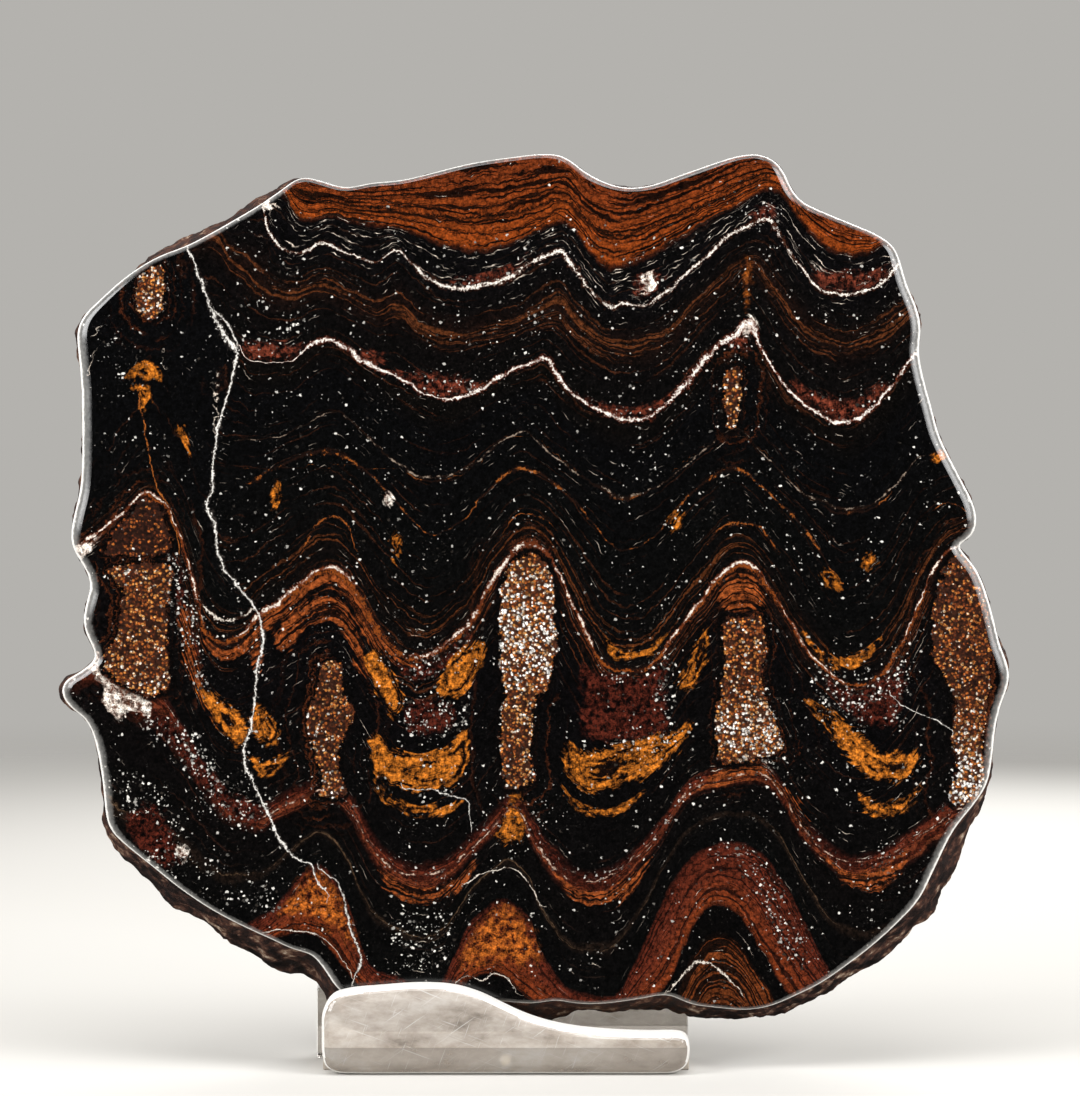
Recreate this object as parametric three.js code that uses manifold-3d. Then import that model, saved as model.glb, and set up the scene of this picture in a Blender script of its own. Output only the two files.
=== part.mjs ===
// A polished slice of stromatolite, standing upright in the slot of a clear acrylic stand.
// Units are millimetres, with +Z up and the polished face towards -Y.
// The origin is under the middle of the slot, on the surface that the stand stands on.
import * as THREE from "three";
import { mergeVertices } from "three/addons/utils/BufferGeometryUtils.js";
import Module from "manifold-3d";

const wasm = await Module();
wasm.setup();

// Driving dimensions of the slice
const SLICE_THICKNESS = 12;
const OUTLINE_STEPS = 250;
const BEVEL_LEAST = 0.9; // width of the polished bevel where the rim faces up or down
const BEVEL_SIDEWAYS = 1.3; // added where the rim faces left or right
const BEVEL_DEPTH = 1.5; // how far back the bevel reaches
const BEVEL_BEND_WIDTH = 0.4; // share of the bevel's width that is left where it bends
const BEVEL_BEND_DEPTH = 0.3; // share of its depth there
const RIND_RINGS = 5; // bands of the natural rind, from the bevel to the back
const RIND_LUMP = 0.7; // height of the rind's lumps
const RIND_SPREAD = 9; // outline steps over which the rind's direction is evened out
const RIND_FLARE_POWER = 0.8; // below 1, the rind flares most just behind the bevel
// Waves of the rind's lumps: how many go round the rim, where they start, and their share of the height.
const RIND_WAVES = [[19, 1.3, 0.5], [31, 2.9, 0.35], [53, 0.4, 0.3], [87, 4.1, 0.2]];

// Driving dimensions of the stand
const SLOT_WIDTH = 13;
const SLOT_FLOOR = 5.6; // also the spacer bar's height
const STONE_GAP = 0.3; // between the stone and the slot's floor
const CEMENT_GAP = 0.3; // line of cement between the spacer bar and each plate
const FRONT_PLATE_THICKNESS = 6;
const FRONT_PLATE_STEPS = 150;
const FRONT_PLATE_HALF_LENGTH = 36.6;
// Profile of the front plate's ground bevel: depth from the front, and the share of its width left there.
const GROUND_BEVEL = [[0, 1], [0.5, 0.45], [1.3, 0.12], [2.6, 0], [FRONT_PLATE_THICKNESS, 0]];
const BACK_PLATE_THICKNESS = 9;
const BACK_PLATE_HEIGHT = 14.6;
const BACK_PLATE_LEFT = -38.9;
const BACK_PLATE_RIGHT = 37.1;
const BACK_PLATE_CHAMFER = 0.5;
const PIN_RADIUS = 1.25;
const PIN_LENGTH = 20;
const PIN_HEIGHT = 2.9;
const PIN_SIDES = 20;
const PIN_CLEARANCE = 0.3;

const FACE_Y = -SLICE_THICKNESS / 2;
const SLOT_FRONT_Y = -SLOT_WIDTH / 2;
const SLOT_BACK_Y = SLOT_WIDTH / 2;

// The rim of the polished face, clockwise from the top of the white vein, as seen from the front.
// Each point is x, z, and how far the rind at the back stands out beyond the rim there.
const RIM = [
  [-63.6, 165.2, 3], [-56.2, 169.2, 3], [-48.8, 173.6, 2.6], [-44.2, 176.8, 1.6], [-41.2, 178.8, 0.8],
  [-36.8, 177.9, 0.3], [-32.2, 176.6, 0.2], [-27.2, 177.6, 0], [-21.2, 178.1, 0], [-15.2, 179.5, 0],
  [-7.2, 181.5, 0], [0.8, 182.7, 0.2], [7.8, 183.4, 0.3], [11.8, 182.9, 0.3], [14.4, 180.8, 0.2],
  [18.8, 178.1, 0], [23.8, 176.6, 0], [28.8, 177, 0], [34.8, 179.1, 0], [40.8, 181.2, 0],
  [45.8, 182.8, 0.2], [49.8, 183.4, 0.4], [53.2, 182.5, 0.6], [55.4, 180.4, 0.6], [56.9, 177, 0.4],
  [59, 174, 0.2], [62.8, 172.1, 0.2], [68.8, 169.6, 0.2], [74.8, 167, 0.4], [77.8, 164.8, 0.6],
  [79, 162, 0.6], [80.4, 157, 0.5], [82.4, 152.4, 0.5], [83.2, 148.4, 0.5], [82.7, 144, 0.4],
  [83.8, 138, 0.4], [85.2, 133, 0.4], [86.8, 127, 0.5], [89.2, 122, 0.6], [91.8, 117, 0.6],
  [93.8, 113, 0.6], [94.4, 109, 0.5], [93, 106.3, 0.4], [90.4, 105, 0.3], [91.8, 103.2, 0.4],
  [94.4, 100, 0.6], [96.4, 95, 0.8], [97.8, 90, 1], [99, 85, 1], [100.6, 81, 1],
  [100.9, 77.6, 1], [99.4, 73.6, 1], [98.2, 69, 1], [97.4, 62, 1.4], [96.4, 57, 2],
  [93.8, 53, 3], [89.8, 48, 4.6], [85.8, 40, 6], [82.8, 34, 6], [78.8, 29.6, 5.4],
  [73.8, 25, 4.8], [67.8, 20.4, 4.4], [62.8, 17, 4.2], [57.8, 14.6, 4.2], [52.8, 12.5, 4.1],
  [47.8, 11.8, 4], [42.8, 12.2, 3.9], [36.8, 13, 3.8], [32.4, 14.9, 4.6], [26.8, 14, 4],
  [18.8, 13, 3.5], [13.8, 13.1, 4], [9.8, 13.8, 5.6], [5.8, 13.1, 6.6], [-1.2, 13.6, 7.9],
  [-10, 14.2, 9.2], [-22, 13.6, 8.8], [-30, 14, 7.6], [-33.6, 15.8, 6.4], [-36.2, 19.6, 5.6],
  [-39, 23, 5.8], [-42.4, 23.8, 6.2], [-46.2, 25.6, 6.2], [-53.2, 28.8, 6], [-59.2, 32, 5.6],
  [-65.2, 36, 5], [-71.2, 40.8, 4.4], [-76.2, 44.8, 3.8], [-79.4, 48, 3], [-80.4, 52, 2.2],
  [-80.7, 56, 1.8], [-81.6, 62, 1.6], [-82.8, 67, 1.8], [-84.2, 70, 2], [-87.2, 72.3, 2],
  [-89.2, 75, 1.6], [-88.8, 77.6, 1.2], [-86.2, 79, 1], [-82, 82.8, 0.8], [-83.8, 86, 1],
  [-84.8, 90, 1], [-84, 94, 1], [-83.2, 97, 1], [-84.2, 100, 1], [-86.2, 103, 1],
  [-87.2, 105.4, 1], [-87.2, 108, 1], [-86.4, 111.8, 1], [-85.4, 116, 1], [-85, 122, 1],
  [-85, 130, 1], [-85.2, 138, 1], [-85.8, 144, 1], [-86, 148, 1], [-84.8, 150.8, 1],
  [-81.2, 154.4, 1], [-76.2, 158.8, 1.2], [-70.2, 162.6, 2],
];

// The front plate's outline, clockwise from the left end of its top edge.
// Each point is x, z, and the width of the ground bevel there.
const FRONT_PLATE = [
  [-34.6, 15.4, 2.1], [-31.6, 16.5, 2.4], [-24.7, 17.2, 2.6], [-16.9, 17.7, 2.6], [-10.4, 17.3, 2.5],
  [-5.4, 15.9, 2.3], [-1.1, 13.9, 2.1], [2.9, 12, 1.9], [7.8, 10.3, 1.6], [13.7, 9.1, 1.3],
  [20.6, 8.4, 1.1], [28.5, 8.1, 1], [34, 8.1, 1], [35.9, 7.6, 1.2], [36.5, 6.2, 1.5],
  [36.6, 4, 1.8], [35.8, 1.5, 2], [33.4, 0.2, 2.1], [30, 0, 2.2], [15, 0, 2.2], [0, 0, 2.2],
  [-15, 0, 2.2], [-30, 0, 2.2], [-33.4, 0.2, 2.1], [-35.8, 1.5, 2], [-36.5, 4, 1.9],
  [-36.6, 8, 1.8], [-36.4, 12.4, 1.8],
];

const polishedStone = new THREE.MeshStandardMaterial({ color: 0x2a1710, roughness: 0.25, metalness: 0 });
const clearAcrylic = new THREE.MeshStandardMaterial({
  color: 0xdedbd5, roughness: 0.3, metalness: 0, transparent: true, opacity: 0.45,
});
const pinNylon = new THREE.MeshStandardMaterial({ color: 0xe9e4d0, roughness: 0.6, metalness: 0 });

// Points spaced evenly along a closed curve through x, z and a third value that varies along it.
function spacedPoints(list, steps) {
  const curve = new THREE.CatmullRomCurve3(list.map((p) => new THREE.Vector3(...p)), true, "centripetal");
  return curve.getSpacedPoints(steps).slice(0, steps);
}

// The outward direction in the x, z plane at each point, evened out over reach points to each side.
function outwards(points, reach) {
  const count = points.length;
  return points.map((_, i) => {
    const sum = new THREE.Vector2();
    for (let k = -reach; k < reach; k++) {
      const from = points[(i + k + count) % count];
      const to = points[(i + k + 1 + count) % count];
      sum.x -= to.y - from.y;
      sum.y += to.x - from.x;
    }
    return sum.normalize();
  });
}

// A ring of points at depth y, each moved outwards by its own distance.
function ringAt(points, directions, y, distance) {
  return points.map((p, i) => {
    const d = distance(p, i);
    return new THREE.Vector3(p.x + directions[i].x * d, y, p.y + directions[i].y * d);
  });
}

// A closed geometry through rings that run clockwise as seen from the front, ordered from front to back.
function loft(rings) {
  const count = rings[0].length;
  const positions = rings.flat().flatMap((v) => [v.x, v.y, v.z]);
  const index = [];
  for (let r = 0; r + 1 < rings.length; r++) {
    for (let i = 0; i < count; i++) {
      const a = r * count + i;
      const b = r * count + ((i + 1) % count);
      index.push(a, b, b + count, a, b + count, a + count);
    }
  }
  const cap = (ring, start, facing) => {
    const flat = ring.map((v) => new THREE.Vector2(v.x, v.z));
    for (const [a, b, c] of THREE.ShapeUtils.triangulateShape(flat, [])) {
      const turn = flat[b].clone().sub(flat[a]).cross(flat[c].clone().sub(flat[a]));
      const [second, third] = turn * facing > 0 ? [b, c] : [c, b];
      index.push(start + a, start + second, start + third);
    }
  };
  cap(rings[0], 0, 1);
  cap(rings[rings.length - 1], (rings.length - 1) * count, -1);
  const geometry = new THREE.BufferGeometry();
  geometry.setAttribute("position", new THREE.Float32BufferAttribute(positions, 3));
  geometry.setIndex(index);
  return geometry;
}

// Lumps of the weathered rind: a sum of waves along the rim that drift from front to back.
function rindLump(i, back) {
  const along = (i / OUTLINE_STEPS) * 2 * Math.PI;
  return RIND_WAVES.reduce((sum, [turns, phase, size], k) => {
    const drift = back * (2.2 + 1.3 * k);
    return sum + size * Math.sin(turns * along + phase + drift + 1.5 * Math.sin(3 * along + k));
  }, 0);
}

// The slice: a flat polished face, a polished bevel, a flaring rind and a flat sawn back.
function sliceGeometry() {
  const rim = spacedPoints(RIM, OUTLINE_STEPS);
  const close = outwards(rim, 2);
  const broad = outwards(rim, RIND_SPREAD);
  const bevelWidth = (i) => BEVEL_LEAST + BEVEL_SIDEWAYS * close[i].x ** 2;
  const rings = [
    ringAt(rim, close, FACE_Y, (p, i) => -bevelWidth(i)),
    ringAt(rim, close, FACE_Y + BEVEL_DEPTH * BEVEL_BEND_DEPTH, (p, i) => -BEVEL_BEND_WIDTH * bevelWidth(i)),
    ringAt(rim, close, FACE_Y + BEVEL_DEPTH, () => 0),
  ];
  for (let r = 1; r <= RIND_RINGS; r++) {
    const back = r / RIND_RINGS;
    const y = FACE_Y + BEVEL_DEPTH + back * (SLICE_THICKNESS - BEVEL_DEPTH);
    const rough = RIND_LUMP * Math.min(1, 2 * back); // smooth where it meets the bevel
    rings.push(ringAt(rim, broad, y, (p, i) => p.z * back ** RIND_FLARE_POWER + rough * rindLump(i, back)));
  }
  // The stone stands on a small flat foot, ground level with the slot's floor.
  const foot = SLOT_FLOOR + STONE_GAP;
  for (const v of rings.flat()) v.z = Math.max(v.z, foot);
  return loft(rings);
}

// A geometry as a solid for cutting, and back again.
function solidOf(geometry) {
  const bare = geometry.clone();
  bare.deleteAttribute("normal");
  bare.deleteAttribute("uv");
  const merged = mergeVertices(bare);
  return new wasm.Manifold(new wasm.Mesh({
    numProp: 3,
    vertProperties: new Float32Array(merged.attributes.position.array),
    triVerts: new Uint32Array(merged.index.array),
  }));
}

function geometryOf(solid) {
  const mesh = solid.getMesh();
  const geometry = new THREE.BufferGeometry();
  geometry.setAttribute("position", new THREE.BufferAttribute(mesh.vertProperties, 3));
  geometry.setIndex(new THREE.BufferAttribute(mesh.triVerts, 1));
  geometry.computeVertexNormals();
  return geometry;
}

// A rod along Y, through the middle of the stand at the pin's height.
function crossRod(radius, length) {
  return new THREE.CylinderGeometry(radius, radius, length, PIN_SIDES).translate(0, 0, PIN_HEIGHT);
}

const pinHole = solidOf(crossRod(PIN_RADIUS + PIN_CLEARANCE, PIN_LENGTH + 2 * PIN_CLEARANCE));

// The front plate: its contoured top edge, its sides and its foot are ground to a bevel on the outside.
function frontPlateGeometry() {
  const outline = spacedPoints(FRONT_PLATE, FRONT_PLATE_STEPS);
  const directions = outwards(outline, 2);
  const front = SLOT_FRONT_Y - FRONT_PLATE_THICKNESS;
  const rings = GROUND_BEVEL.map(([depth, share]) => {
    return ringAt(outline, directions, front + depth, (p) => -share * p.z);
  });
  for (const v of rings.flat()) {
    v.x = THREE.MathUtils.clamp(v.x, -FRONT_PLATE_HALF_LENGTH, FRONT_PLATE_HALF_LENGTH);
    v.z = Math.max(v.z, 0);
  }
  return geometryOf(solidOf(loft(rings)).subtract(pinHole));
}

// The spacer bar between the plates: its top is the slot's floor.
function spacerGeometry() {
  const depth = SLOT_WIDTH - 2 * CEMENT_GAP;
  const bar = new THREE.BoxGeometry(2 * FRONT_PLATE_HALF_LENGTH, depth, SLOT_FLOOR);
  bar.translate(0, 0, SLOT_FLOOR / 2);
  return geometryOf(solidOf(bar).subtract(pinHole));
}

// The back plate: a straight plate with square corners and lightly broken edges.
function backPlateGeometry() {
  const c = BACK_PLATE_CHAMFER;
  const shape = new THREE.Shape([
    new THREE.Vector2(BACK_PLATE_LEFT + c, c),
    new THREE.Vector2(BACK_PLATE_RIGHT - c, c),
    new THREE.Vector2(BACK_PLATE_RIGHT - c, BACK_PLATE_HEIGHT - c),
    new THREE.Vector2(BACK_PLATE_LEFT + c, BACK_PLATE_HEIGHT - c),
  ]);
  const plate = new THREE.ExtrudeGeometry(shape, {
    depth: BACK_PLATE_THICKNESS - 2 * c,
    bevelEnabled: true,
    bevelThickness: c,
    bevelSize: c,
    bevelSegments: 1,
  });
  plate.rotateX(Math.PI / 2);
  plate.translate(0, SLOT_BACK_Y + BACK_PLATE_THICKNESS - c, 0);
  return geometryOf(solidOf(plate).subtract(pinHole));
}

function namedMesh(name, geometry, material) {
  const mesh = new THREE.Mesh(geometry, material);
  mesh.name = name;
  return mesh;
}

const stand = new THREE.Group();
stand.add(
  namedMesh("stand_front_plate", frontPlateGeometry(), clearAcrylic),
  namedMesh("stand_spacer_bar", spacerGeometry(), clearAcrylic),
  namedMesh("stand_back_plate", backPlateGeometry(), clearAcrylic),
  namedMesh("stand_pin", crossRod(PIN_RADIUS, PIN_LENGTH), pinNylon),
);

const part = new THREE.Group();
part.add(namedMesh("slice", sliceGeometry(), polishedStone), stand);

export default part;
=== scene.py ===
# %% [markdown]
# # A stromatolite slice on its stand
#
# A stromatolite is a fossil mound of mineral layers, built up by mats of microbes.
# This one was sawn into a slab about 12 mm thick, and one face was ground flat and polished.
# It stands upright in the slot of a small acrylic stand.
# The solids come first, because everything made here has to sit exactly where they are.

# %% Load the solids
import math

import bmesh
import bpy
import numpy as np
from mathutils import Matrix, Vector, geometry, kdtree, noise


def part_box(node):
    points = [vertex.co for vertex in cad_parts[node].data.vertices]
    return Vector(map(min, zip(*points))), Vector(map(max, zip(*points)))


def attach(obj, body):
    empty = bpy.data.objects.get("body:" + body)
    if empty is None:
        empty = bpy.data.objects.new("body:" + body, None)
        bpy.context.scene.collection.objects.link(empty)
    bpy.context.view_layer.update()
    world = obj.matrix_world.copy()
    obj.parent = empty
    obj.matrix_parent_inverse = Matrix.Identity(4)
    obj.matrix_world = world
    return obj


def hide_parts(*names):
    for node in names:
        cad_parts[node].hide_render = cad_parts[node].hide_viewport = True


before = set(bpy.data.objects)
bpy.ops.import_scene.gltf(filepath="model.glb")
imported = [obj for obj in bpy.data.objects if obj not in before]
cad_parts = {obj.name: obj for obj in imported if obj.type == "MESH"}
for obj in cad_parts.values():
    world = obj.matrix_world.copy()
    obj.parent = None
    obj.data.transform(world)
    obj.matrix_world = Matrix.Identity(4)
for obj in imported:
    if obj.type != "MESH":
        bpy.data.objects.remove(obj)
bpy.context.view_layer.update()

print("solids:", sorted(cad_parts))

# %% [markdown]
# ## The view
#
# The slice is seen square on, from the height of its middle, with a long lens.
# A frame of 1080 by 1096 pixels shows the polished face at 5 pixels to the millimetre,
# so a point of the face can be named by its pixel, and the pixel turned into millimetres.

# %% Camera
FRAME_SIZE = (1080, 1096)
PIXELS_PER_MM = 5.0
MIDDLE_U = 506  # the pixel column over the middle of the stand
GROUND_V = 1070  # the pixel row of the ground under the face
FACE_DISTANCE = 0.560  # from the lens to the polished face, in metres
SENSOR_MM = 36.0

face_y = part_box("slice")[0].y
camera_data = bpy.data.cameras.new("camera")
camera_data.sensor_width = SENSOR_MM
camera_data.lens = PIXELS_PER_MM * FACE_DISTANCE * 1000 / max(FRAME_SIZE) * SENSOR_MM
camera_data.clip_start = 0.01
camera = bpy.data.objects.new("camera", camera_data)
camera.location = (
    (FRAME_SIZE[0] / 2 - MIDDLE_U) / PIXELS_PER_MM / 1000,
    face_y - FACE_DISTANCE,
    (GROUND_V - FRAME_SIZE[1] / 2) / PIXELS_PER_MM / 1000,
)
camera.rotation_euler = (math.pi / 2, 0, 0)
bpy.context.scene.collection.objects.link(camera)
bpy.context.scene.camera = camera
bpy.context.scene.view_settings.view_transform = "Standard"
print("lens", round(camera_data.lens, 1), "mm at", [round(c, 4) for c in camera.location])

# %% [markdown]
# ## Colours and nodes
#
# Colours are written as sRGB hex values, as in any paint program, and shaders want linear light.
# One function turns one into the other. Another adds a node, sets it and links it,
# and short names for the commonest kinds let a material read from top to bottom like a recipe.

# %% Helpers for colours and nodes
def linear(hex_colour, alpha=1.0):
    srgb = [int(hex_colour[i:i + 2], 16) / 255 for i in (1, 3, 5)]
    return (*[c / 12.92 if c <= 0.04045 else ((c + 0.055) / 1.055) ** 2.4 for c in srgb], alpha)


def add(tree, kind, inputs=None, out=0, **settings):
    """Adds a node with its settings and links, and returns one of its outputs."""
    node = tree.nodes.new(kind)
    for name, value in settings.items():
        setattr(node, name, value)
    for key, value in (inputs or {}).items():
        if isinstance(value, bpy.types.NodeSocket):
            tree.links.new(value, node.inputs[key])
        else:
            node.inputs[key].default_value = value
    return node.outputs[out]


def calc(tree, operation, *numbers, clamp=False):
    """One sum, on numbers or on what other nodes give."""
    return add(tree, "ShaderNodeMath", dict(enumerate(numbers)), operation=operation, use_clamp=clamp)


def fade(tree, value, low, high, to_low=0.0, to_high=1.0, smooth=False):
    """A value between low and high, turned into one between two others, and held there."""
    inputs = {"Value": value, "From Min": low, "From Max": high, "To Min": to_low, "To Max": to_high}
    return add(tree, "ShaderNodeMapRange", inputs, interpolation_type="SMOOTHSTEP" if smooth else "LINEAR")


def blend(tree, share, under, over):
    """A share of one colour over another. A colour is a hex value or what another node gives."""
    under, over = (linear(c) if isinstance(c, str) else c for c in (under, over))
    return add(tree, "ShaderNodeMix", {0: share, 6: under, 7: over}, out=2, data_type="RGBA")


def noise_of(tree, vector, scale, detail, roughness=0.5):
    inputs = {"Vector": vector, "Scale": scale, "Detail": detail, "Roughness": roughness}
    return add(tree, "ShaderNodeTexNoise", inputs)


def stored(tree, name):
    """A number that is stored on the points of a mesh."""
    return add(tree, "ShaderNodeAttribute", attribute_name=name, out="Fac")


def set_stops(ramp_output, stops):
    """Gives a colour ramp its stops: a place from 0 to 1 and a linear colour each."""
    elements = ramp_output.node.color_ramp.elements
    while len(elements) < len(stops):
        elements.new(1.0)
    for element, (place, colour) in zip(elements, stops):
        element.position = place
        element.color = colour


def new_material(name):
    material = bpy.data.materials.new(name)
    material.use_nodes = True
    return material, material.node_tree, material.node_tree.nodes["Principled BSDF"]

# %% [markdown]
# ## Floor and light
#
# The floor is a plain pale disc that fades out into an equally pale surrounding, so no horizon shows.
# Large soft lamps stand to the left, to the right and overhead, and a weaker one lights the back.
# A polished black stone mirrors whatever stands in front of it, and a photographer hangs black cloth there.
# Here the surrounding is made dark for mirror reflections alone, which does the same.

# %% Floor
FLOOR_HEX = "#c9c7c3"
FLOOR_RADIUS = 1.4
FLOOR_FADE = (0.4, 1.2)  # where it starts and ends to fade out, in metres


def in_a_mirror(tree):
    """1 for a ray that left a surface as a mirror reflection, otherwise 0."""
    path = add(tree, "ShaderNodeLightPath").node.outputs
    return calc(tree, "SUBTRACT", path["Is Glossy Ray"], path["Is Transmission Ray"], clamp=True)


floor_mesh = bmesh.new()
bmesh.ops.create_circle(floor_mesh, cap_ends=True, segments=96, radius=FLOOR_RADIUS)
floor_data = bpy.data.meshes.new("floor")
floor_mesh.to_mesh(floor_data)
floor = bpy.data.objects.new("floor", floor_data)
bpy.context.scene.collection.objects.link(floor)

floor_paint, tree, bsdf = new_material("matt floor paint")
bsdf.inputs["Base Color"].default_value = linear(FLOOR_HEX)
bsdf.inputs["Roughness"].default_value = 0.9
bsdf.inputs["Specular IOR Level"].default_value = 0.1
place = add(tree, "ShaderNodeTexCoord", out="Object")
reach = add(tree, "ShaderNodeVectorMath", {0: place}, out="Value", operation="LENGTH")
distant = fade(tree, reach, *FLOOR_FADE, smooth=True)
unseen = calc(tree, "MAXIMUM", distant, in_a_mirror(tree))
clear = add(tree, "ShaderNodeBsdfTransparent")
output = tree.nodes["Material Output"]
mixed = add(tree, "ShaderNodeMixShader", {0: unseen, 1: bsdf.outputs[0], 2: clear})
tree.links.new(mixed, output.inputs["Surface"])
floor_data.materials.append(floor_paint)

# %% Surrounding and lamps
SURROUNDING_HEX = "#b4b2ae"
MIRRORED_STRENGTH = 0.06  # of the surrounding, as a mirror sees it
LAMPS = {  # name: place, size across and up, watts
    "left": ((-0.62, -0.34, 0.42), (0.30, 0.50), 5.5),
    "right": ((0.62, -0.30, 0.38), (0.30, 0.50), 4.5),
    "overhead": ((0.0, -0.16, 0.80), (0.70, 0.35), 4.0),
    "behind": ((0.20, 0.62, 0.40), (0.40, 0.40), 3.0),
}

world = bpy.data.worlds.new("surrounding")
world.use_nodes = True
bpy.context.scene.world = world
tree = world.node_tree
strength = fade(tree, in_a_mirror(tree), 0.0, 1.0, 1.0, MIRRORED_STRENGTH)
background = tree.nodes["Background"]
background.inputs["Color"].default_value = linear(SURROUNDING_HEX)
tree.links.new(strength, background.inputs["Strength"])

slice_low, slice_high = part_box("slice")
slice_middle = (slice_low + slice_high) / 2
for name, (spot, size, watts) in LAMPS.items():
    lamp_data = bpy.data.lights.new("lamp_" + name, "AREA")
    lamp_data.shape = "RECTANGLE"
    lamp_data.size, lamp_data.size_y = size
    lamp_data.energy = watts
    lamp = bpy.data.objects.new("lamp_" + name, lamp_data)
    lamp.location = spot
    lamp.rotation_euler = (slice_middle - Vector(spot)).to_track_quat("-Z", "Y").to_euler()
    bpy.context.scene.collection.objects.link(lamp)
print("lamps:", ", ".join(LAMPS))

# %% [markdown]
# ## The slice's shape
#
# The solid has a flat front, a flat back, and sides that run through a narrow bevel into a rough rind.
# Its sides are a coarse net of straight facets. Subdividing that net gives flowing sides,
# with a crease where the bevel meets the rind, because that edge is crisp on the stone.
# The flat front and back are filled again afterwards with an even net of small triangles,
# because the stone's pattern is going to be stored on its points.

# %% Sides from the solid
RIM_CREASE = 0.75


def smooth_sides(node, levels, crease_y=None):
    """The sides of a solid without its flat front and back, subdivided, as points, normals and faces."""
    low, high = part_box(node)
    sides = bmesh.new()
    sides.from_mesh(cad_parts[node].data)
    bmesh.ops.remove_doubles(sides, verts=sides.verts, dist=1e-6)
    flats = [f for f in sides.faces
             if any(all(abs(v.co.y - y) < 1e-6 for v in f.verts) for y in (low.y, high.y))]
    bmesh.ops.delete(sides, geom=flats, context="FACES")
    bmesh.ops.join_triangles(sides, faces=sides.faces[:], angle_face_threshold=math.pi,
                             angle_shape_threshold=math.pi)
    crease = sides.edges.layers.float.new("crease_edge")
    for edge in sides.edges:
        if crease_y is not None and all(abs(v.co.y - crease_y) < 1e-5 for v in edge.verts):
            edge[crease] = RIM_CREASE
    mesh = bpy.data.meshes.new("sides")
    sides.to_mesh(mesh)
    helper = bpy.data.objects.new("sides", mesh)
    bpy.context.scene.collection.objects.link(helper)
    modifier = helper.modifiers.new("smooth", "SUBSURF")
    modifier.levels = levels
    fine = bpy.data.meshes.new_from_object(helper.evaluated_get(bpy.context.evaluated_depsgraph_get()))
    points = np.array([v.co for v in fine.vertices])
    normals = np.array([v.normal for v in fine.vertices])
    faces = [list(p.vertices) for p in fine.polygons]
    bpy.data.objects.remove(helper)
    return points, normals, faces


def open_loops(faces):
    """The closed rows of points along the open edges of a net, each in order."""
    count = {}
    for face in faces:
        for a, b in zip(face, face[1:] + face[:1]):
            count[(a, b)] = count.get((a, b), 0) + 1
    following = {b: a for a, b in count if (b, a) not in count}
    loops = []
    while following:
        start, nxt = following.popitem()
        loop = [start]
        while nxt != start:
            loop.append(nxt)
            nxt = following.pop(nxt)
        loops.append(loop)
    return loops


RIM_DEPTH_MM = 1.5  # the bevel's depth, behind the face
rim_y = face_y + RIM_DEPTH_MM / 1000
side_points, side_normals, side_faces = smooth_sides("slice", 2, rim_y)
print("slice sides:", len(side_points), "points in", len(open_loops(side_faces)), "open loops")

# %% [markdown]
# ## Reading the layers
#
# The pattern is a set of layers, or laminae, that drape over a row of rounded columns.
# It is described here as a geologist would log it: a few key laminae are traced by points along them,
# in pixels of the face, from the youngest at the top to the oldest at the bottom.
# Every other point of the stone then gets a height in the pile of layers, between its two neighbours.
# A healed crack shifts the layers on its left, so that side has its own upper laminae.

# %% Key laminae
CRACK = [
    (188, 248), (200, 275), (207, 298), (215, 315), (228, 335), (240, 350), (230, 375), (228, 395),
    (220, 420), (215, 445), (213, 470), (212, 490), (207, 505), (215, 530), (220, 560), (235, 585),
    (255, 608), (262, 630), (261, 655), (256, 680), (252, 705), (250, 728), (244, 758), (255, 788),
    (265, 808), (280, 840), (296, 858), (312, 866), (317, 882), (328, 896),
]
CRUST_TOP = [
    (180, 236), (285, 178), (300, 170), (345, 182), (400, 176), (450, 162), (500, 155), (560, 150),
    (585, 168), (625, 184), (690, 170), (745, 149), (780, 158), (800, 193), (850, 218), (890, 236),
    (930, 300),
]
ORANGE_FOOT = [
    (180, 238), (262, 192), (285, 190), (295, 210), (310, 218), (330, 212), (350, 218), (380, 222),
    (410, 228), (440, 240), (470, 247), (500, 243), (530, 232), (560, 218), (575, 226), (590, 250),
    (605, 260), (625, 260), (650, 250), (690, 228), (720, 212), (750, 195), (770, 186), (785, 190),
    (800, 215), (820, 235), (840, 248), (870, 248), (890, 245), (930, 302),
]
UPPER_WHITE = [
    (180, 242), (262, 200), (266, 225), (280, 247), (300, 253), (325, 243), (350, 253), (372, 262),
    (385, 256), (398, 249), (410, 262), (430, 278), (450, 286), (480, 286), (510, 275), (540, 258),
    (562, 251), (570, 262), (590, 288), (608, 308), (625, 303), (645, 305), (670, 290), (700, 262),
    (730, 235), (755, 222), (770, 222), (785, 245), (800, 265), (820, 290), (845, 294), (870, 290),
    (890, 275), (901, 262), (930, 304),
]
BROWN = [
    (180, 246), (215, 232), (230, 255), (250, 272), (270, 290), (290, 296), (320, 288), (350, 300),
    (375, 312), (400, 305), (420, 322), (450, 332), (480, 330), (510, 325), (545, 310), (560, 305),
    (580, 325), (610, 345), (640, 345), (670, 335), (700, 305), (730, 280), (752, 262), (770, 280),
    (790, 310), (810, 330), (840, 342), (870, 338), (895, 325), (920, 308), (960, 312),
]
MIDDLE_WHITE = [
    (180, 300), (240, 345), (250, 360), (285, 362), (300, 355), (310, 345), (325, 338), (345, 345),
    (360, 358), (380, 370), (400, 380), (430, 395), (450, 402), (480, 388), (510, 372), (530, 365),
    (545, 358), (560, 378), (580, 400), (610, 415), (640, 420), (660, 410), (680, 390), (700, 365),
    (720, 345), (735, 335), (748, 322), (760, 345), (780, 380), (800, 400), (820, 415), (845, 425),
    (870, 410), (890, 388), (910, 360), (960, 340),
]
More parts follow.
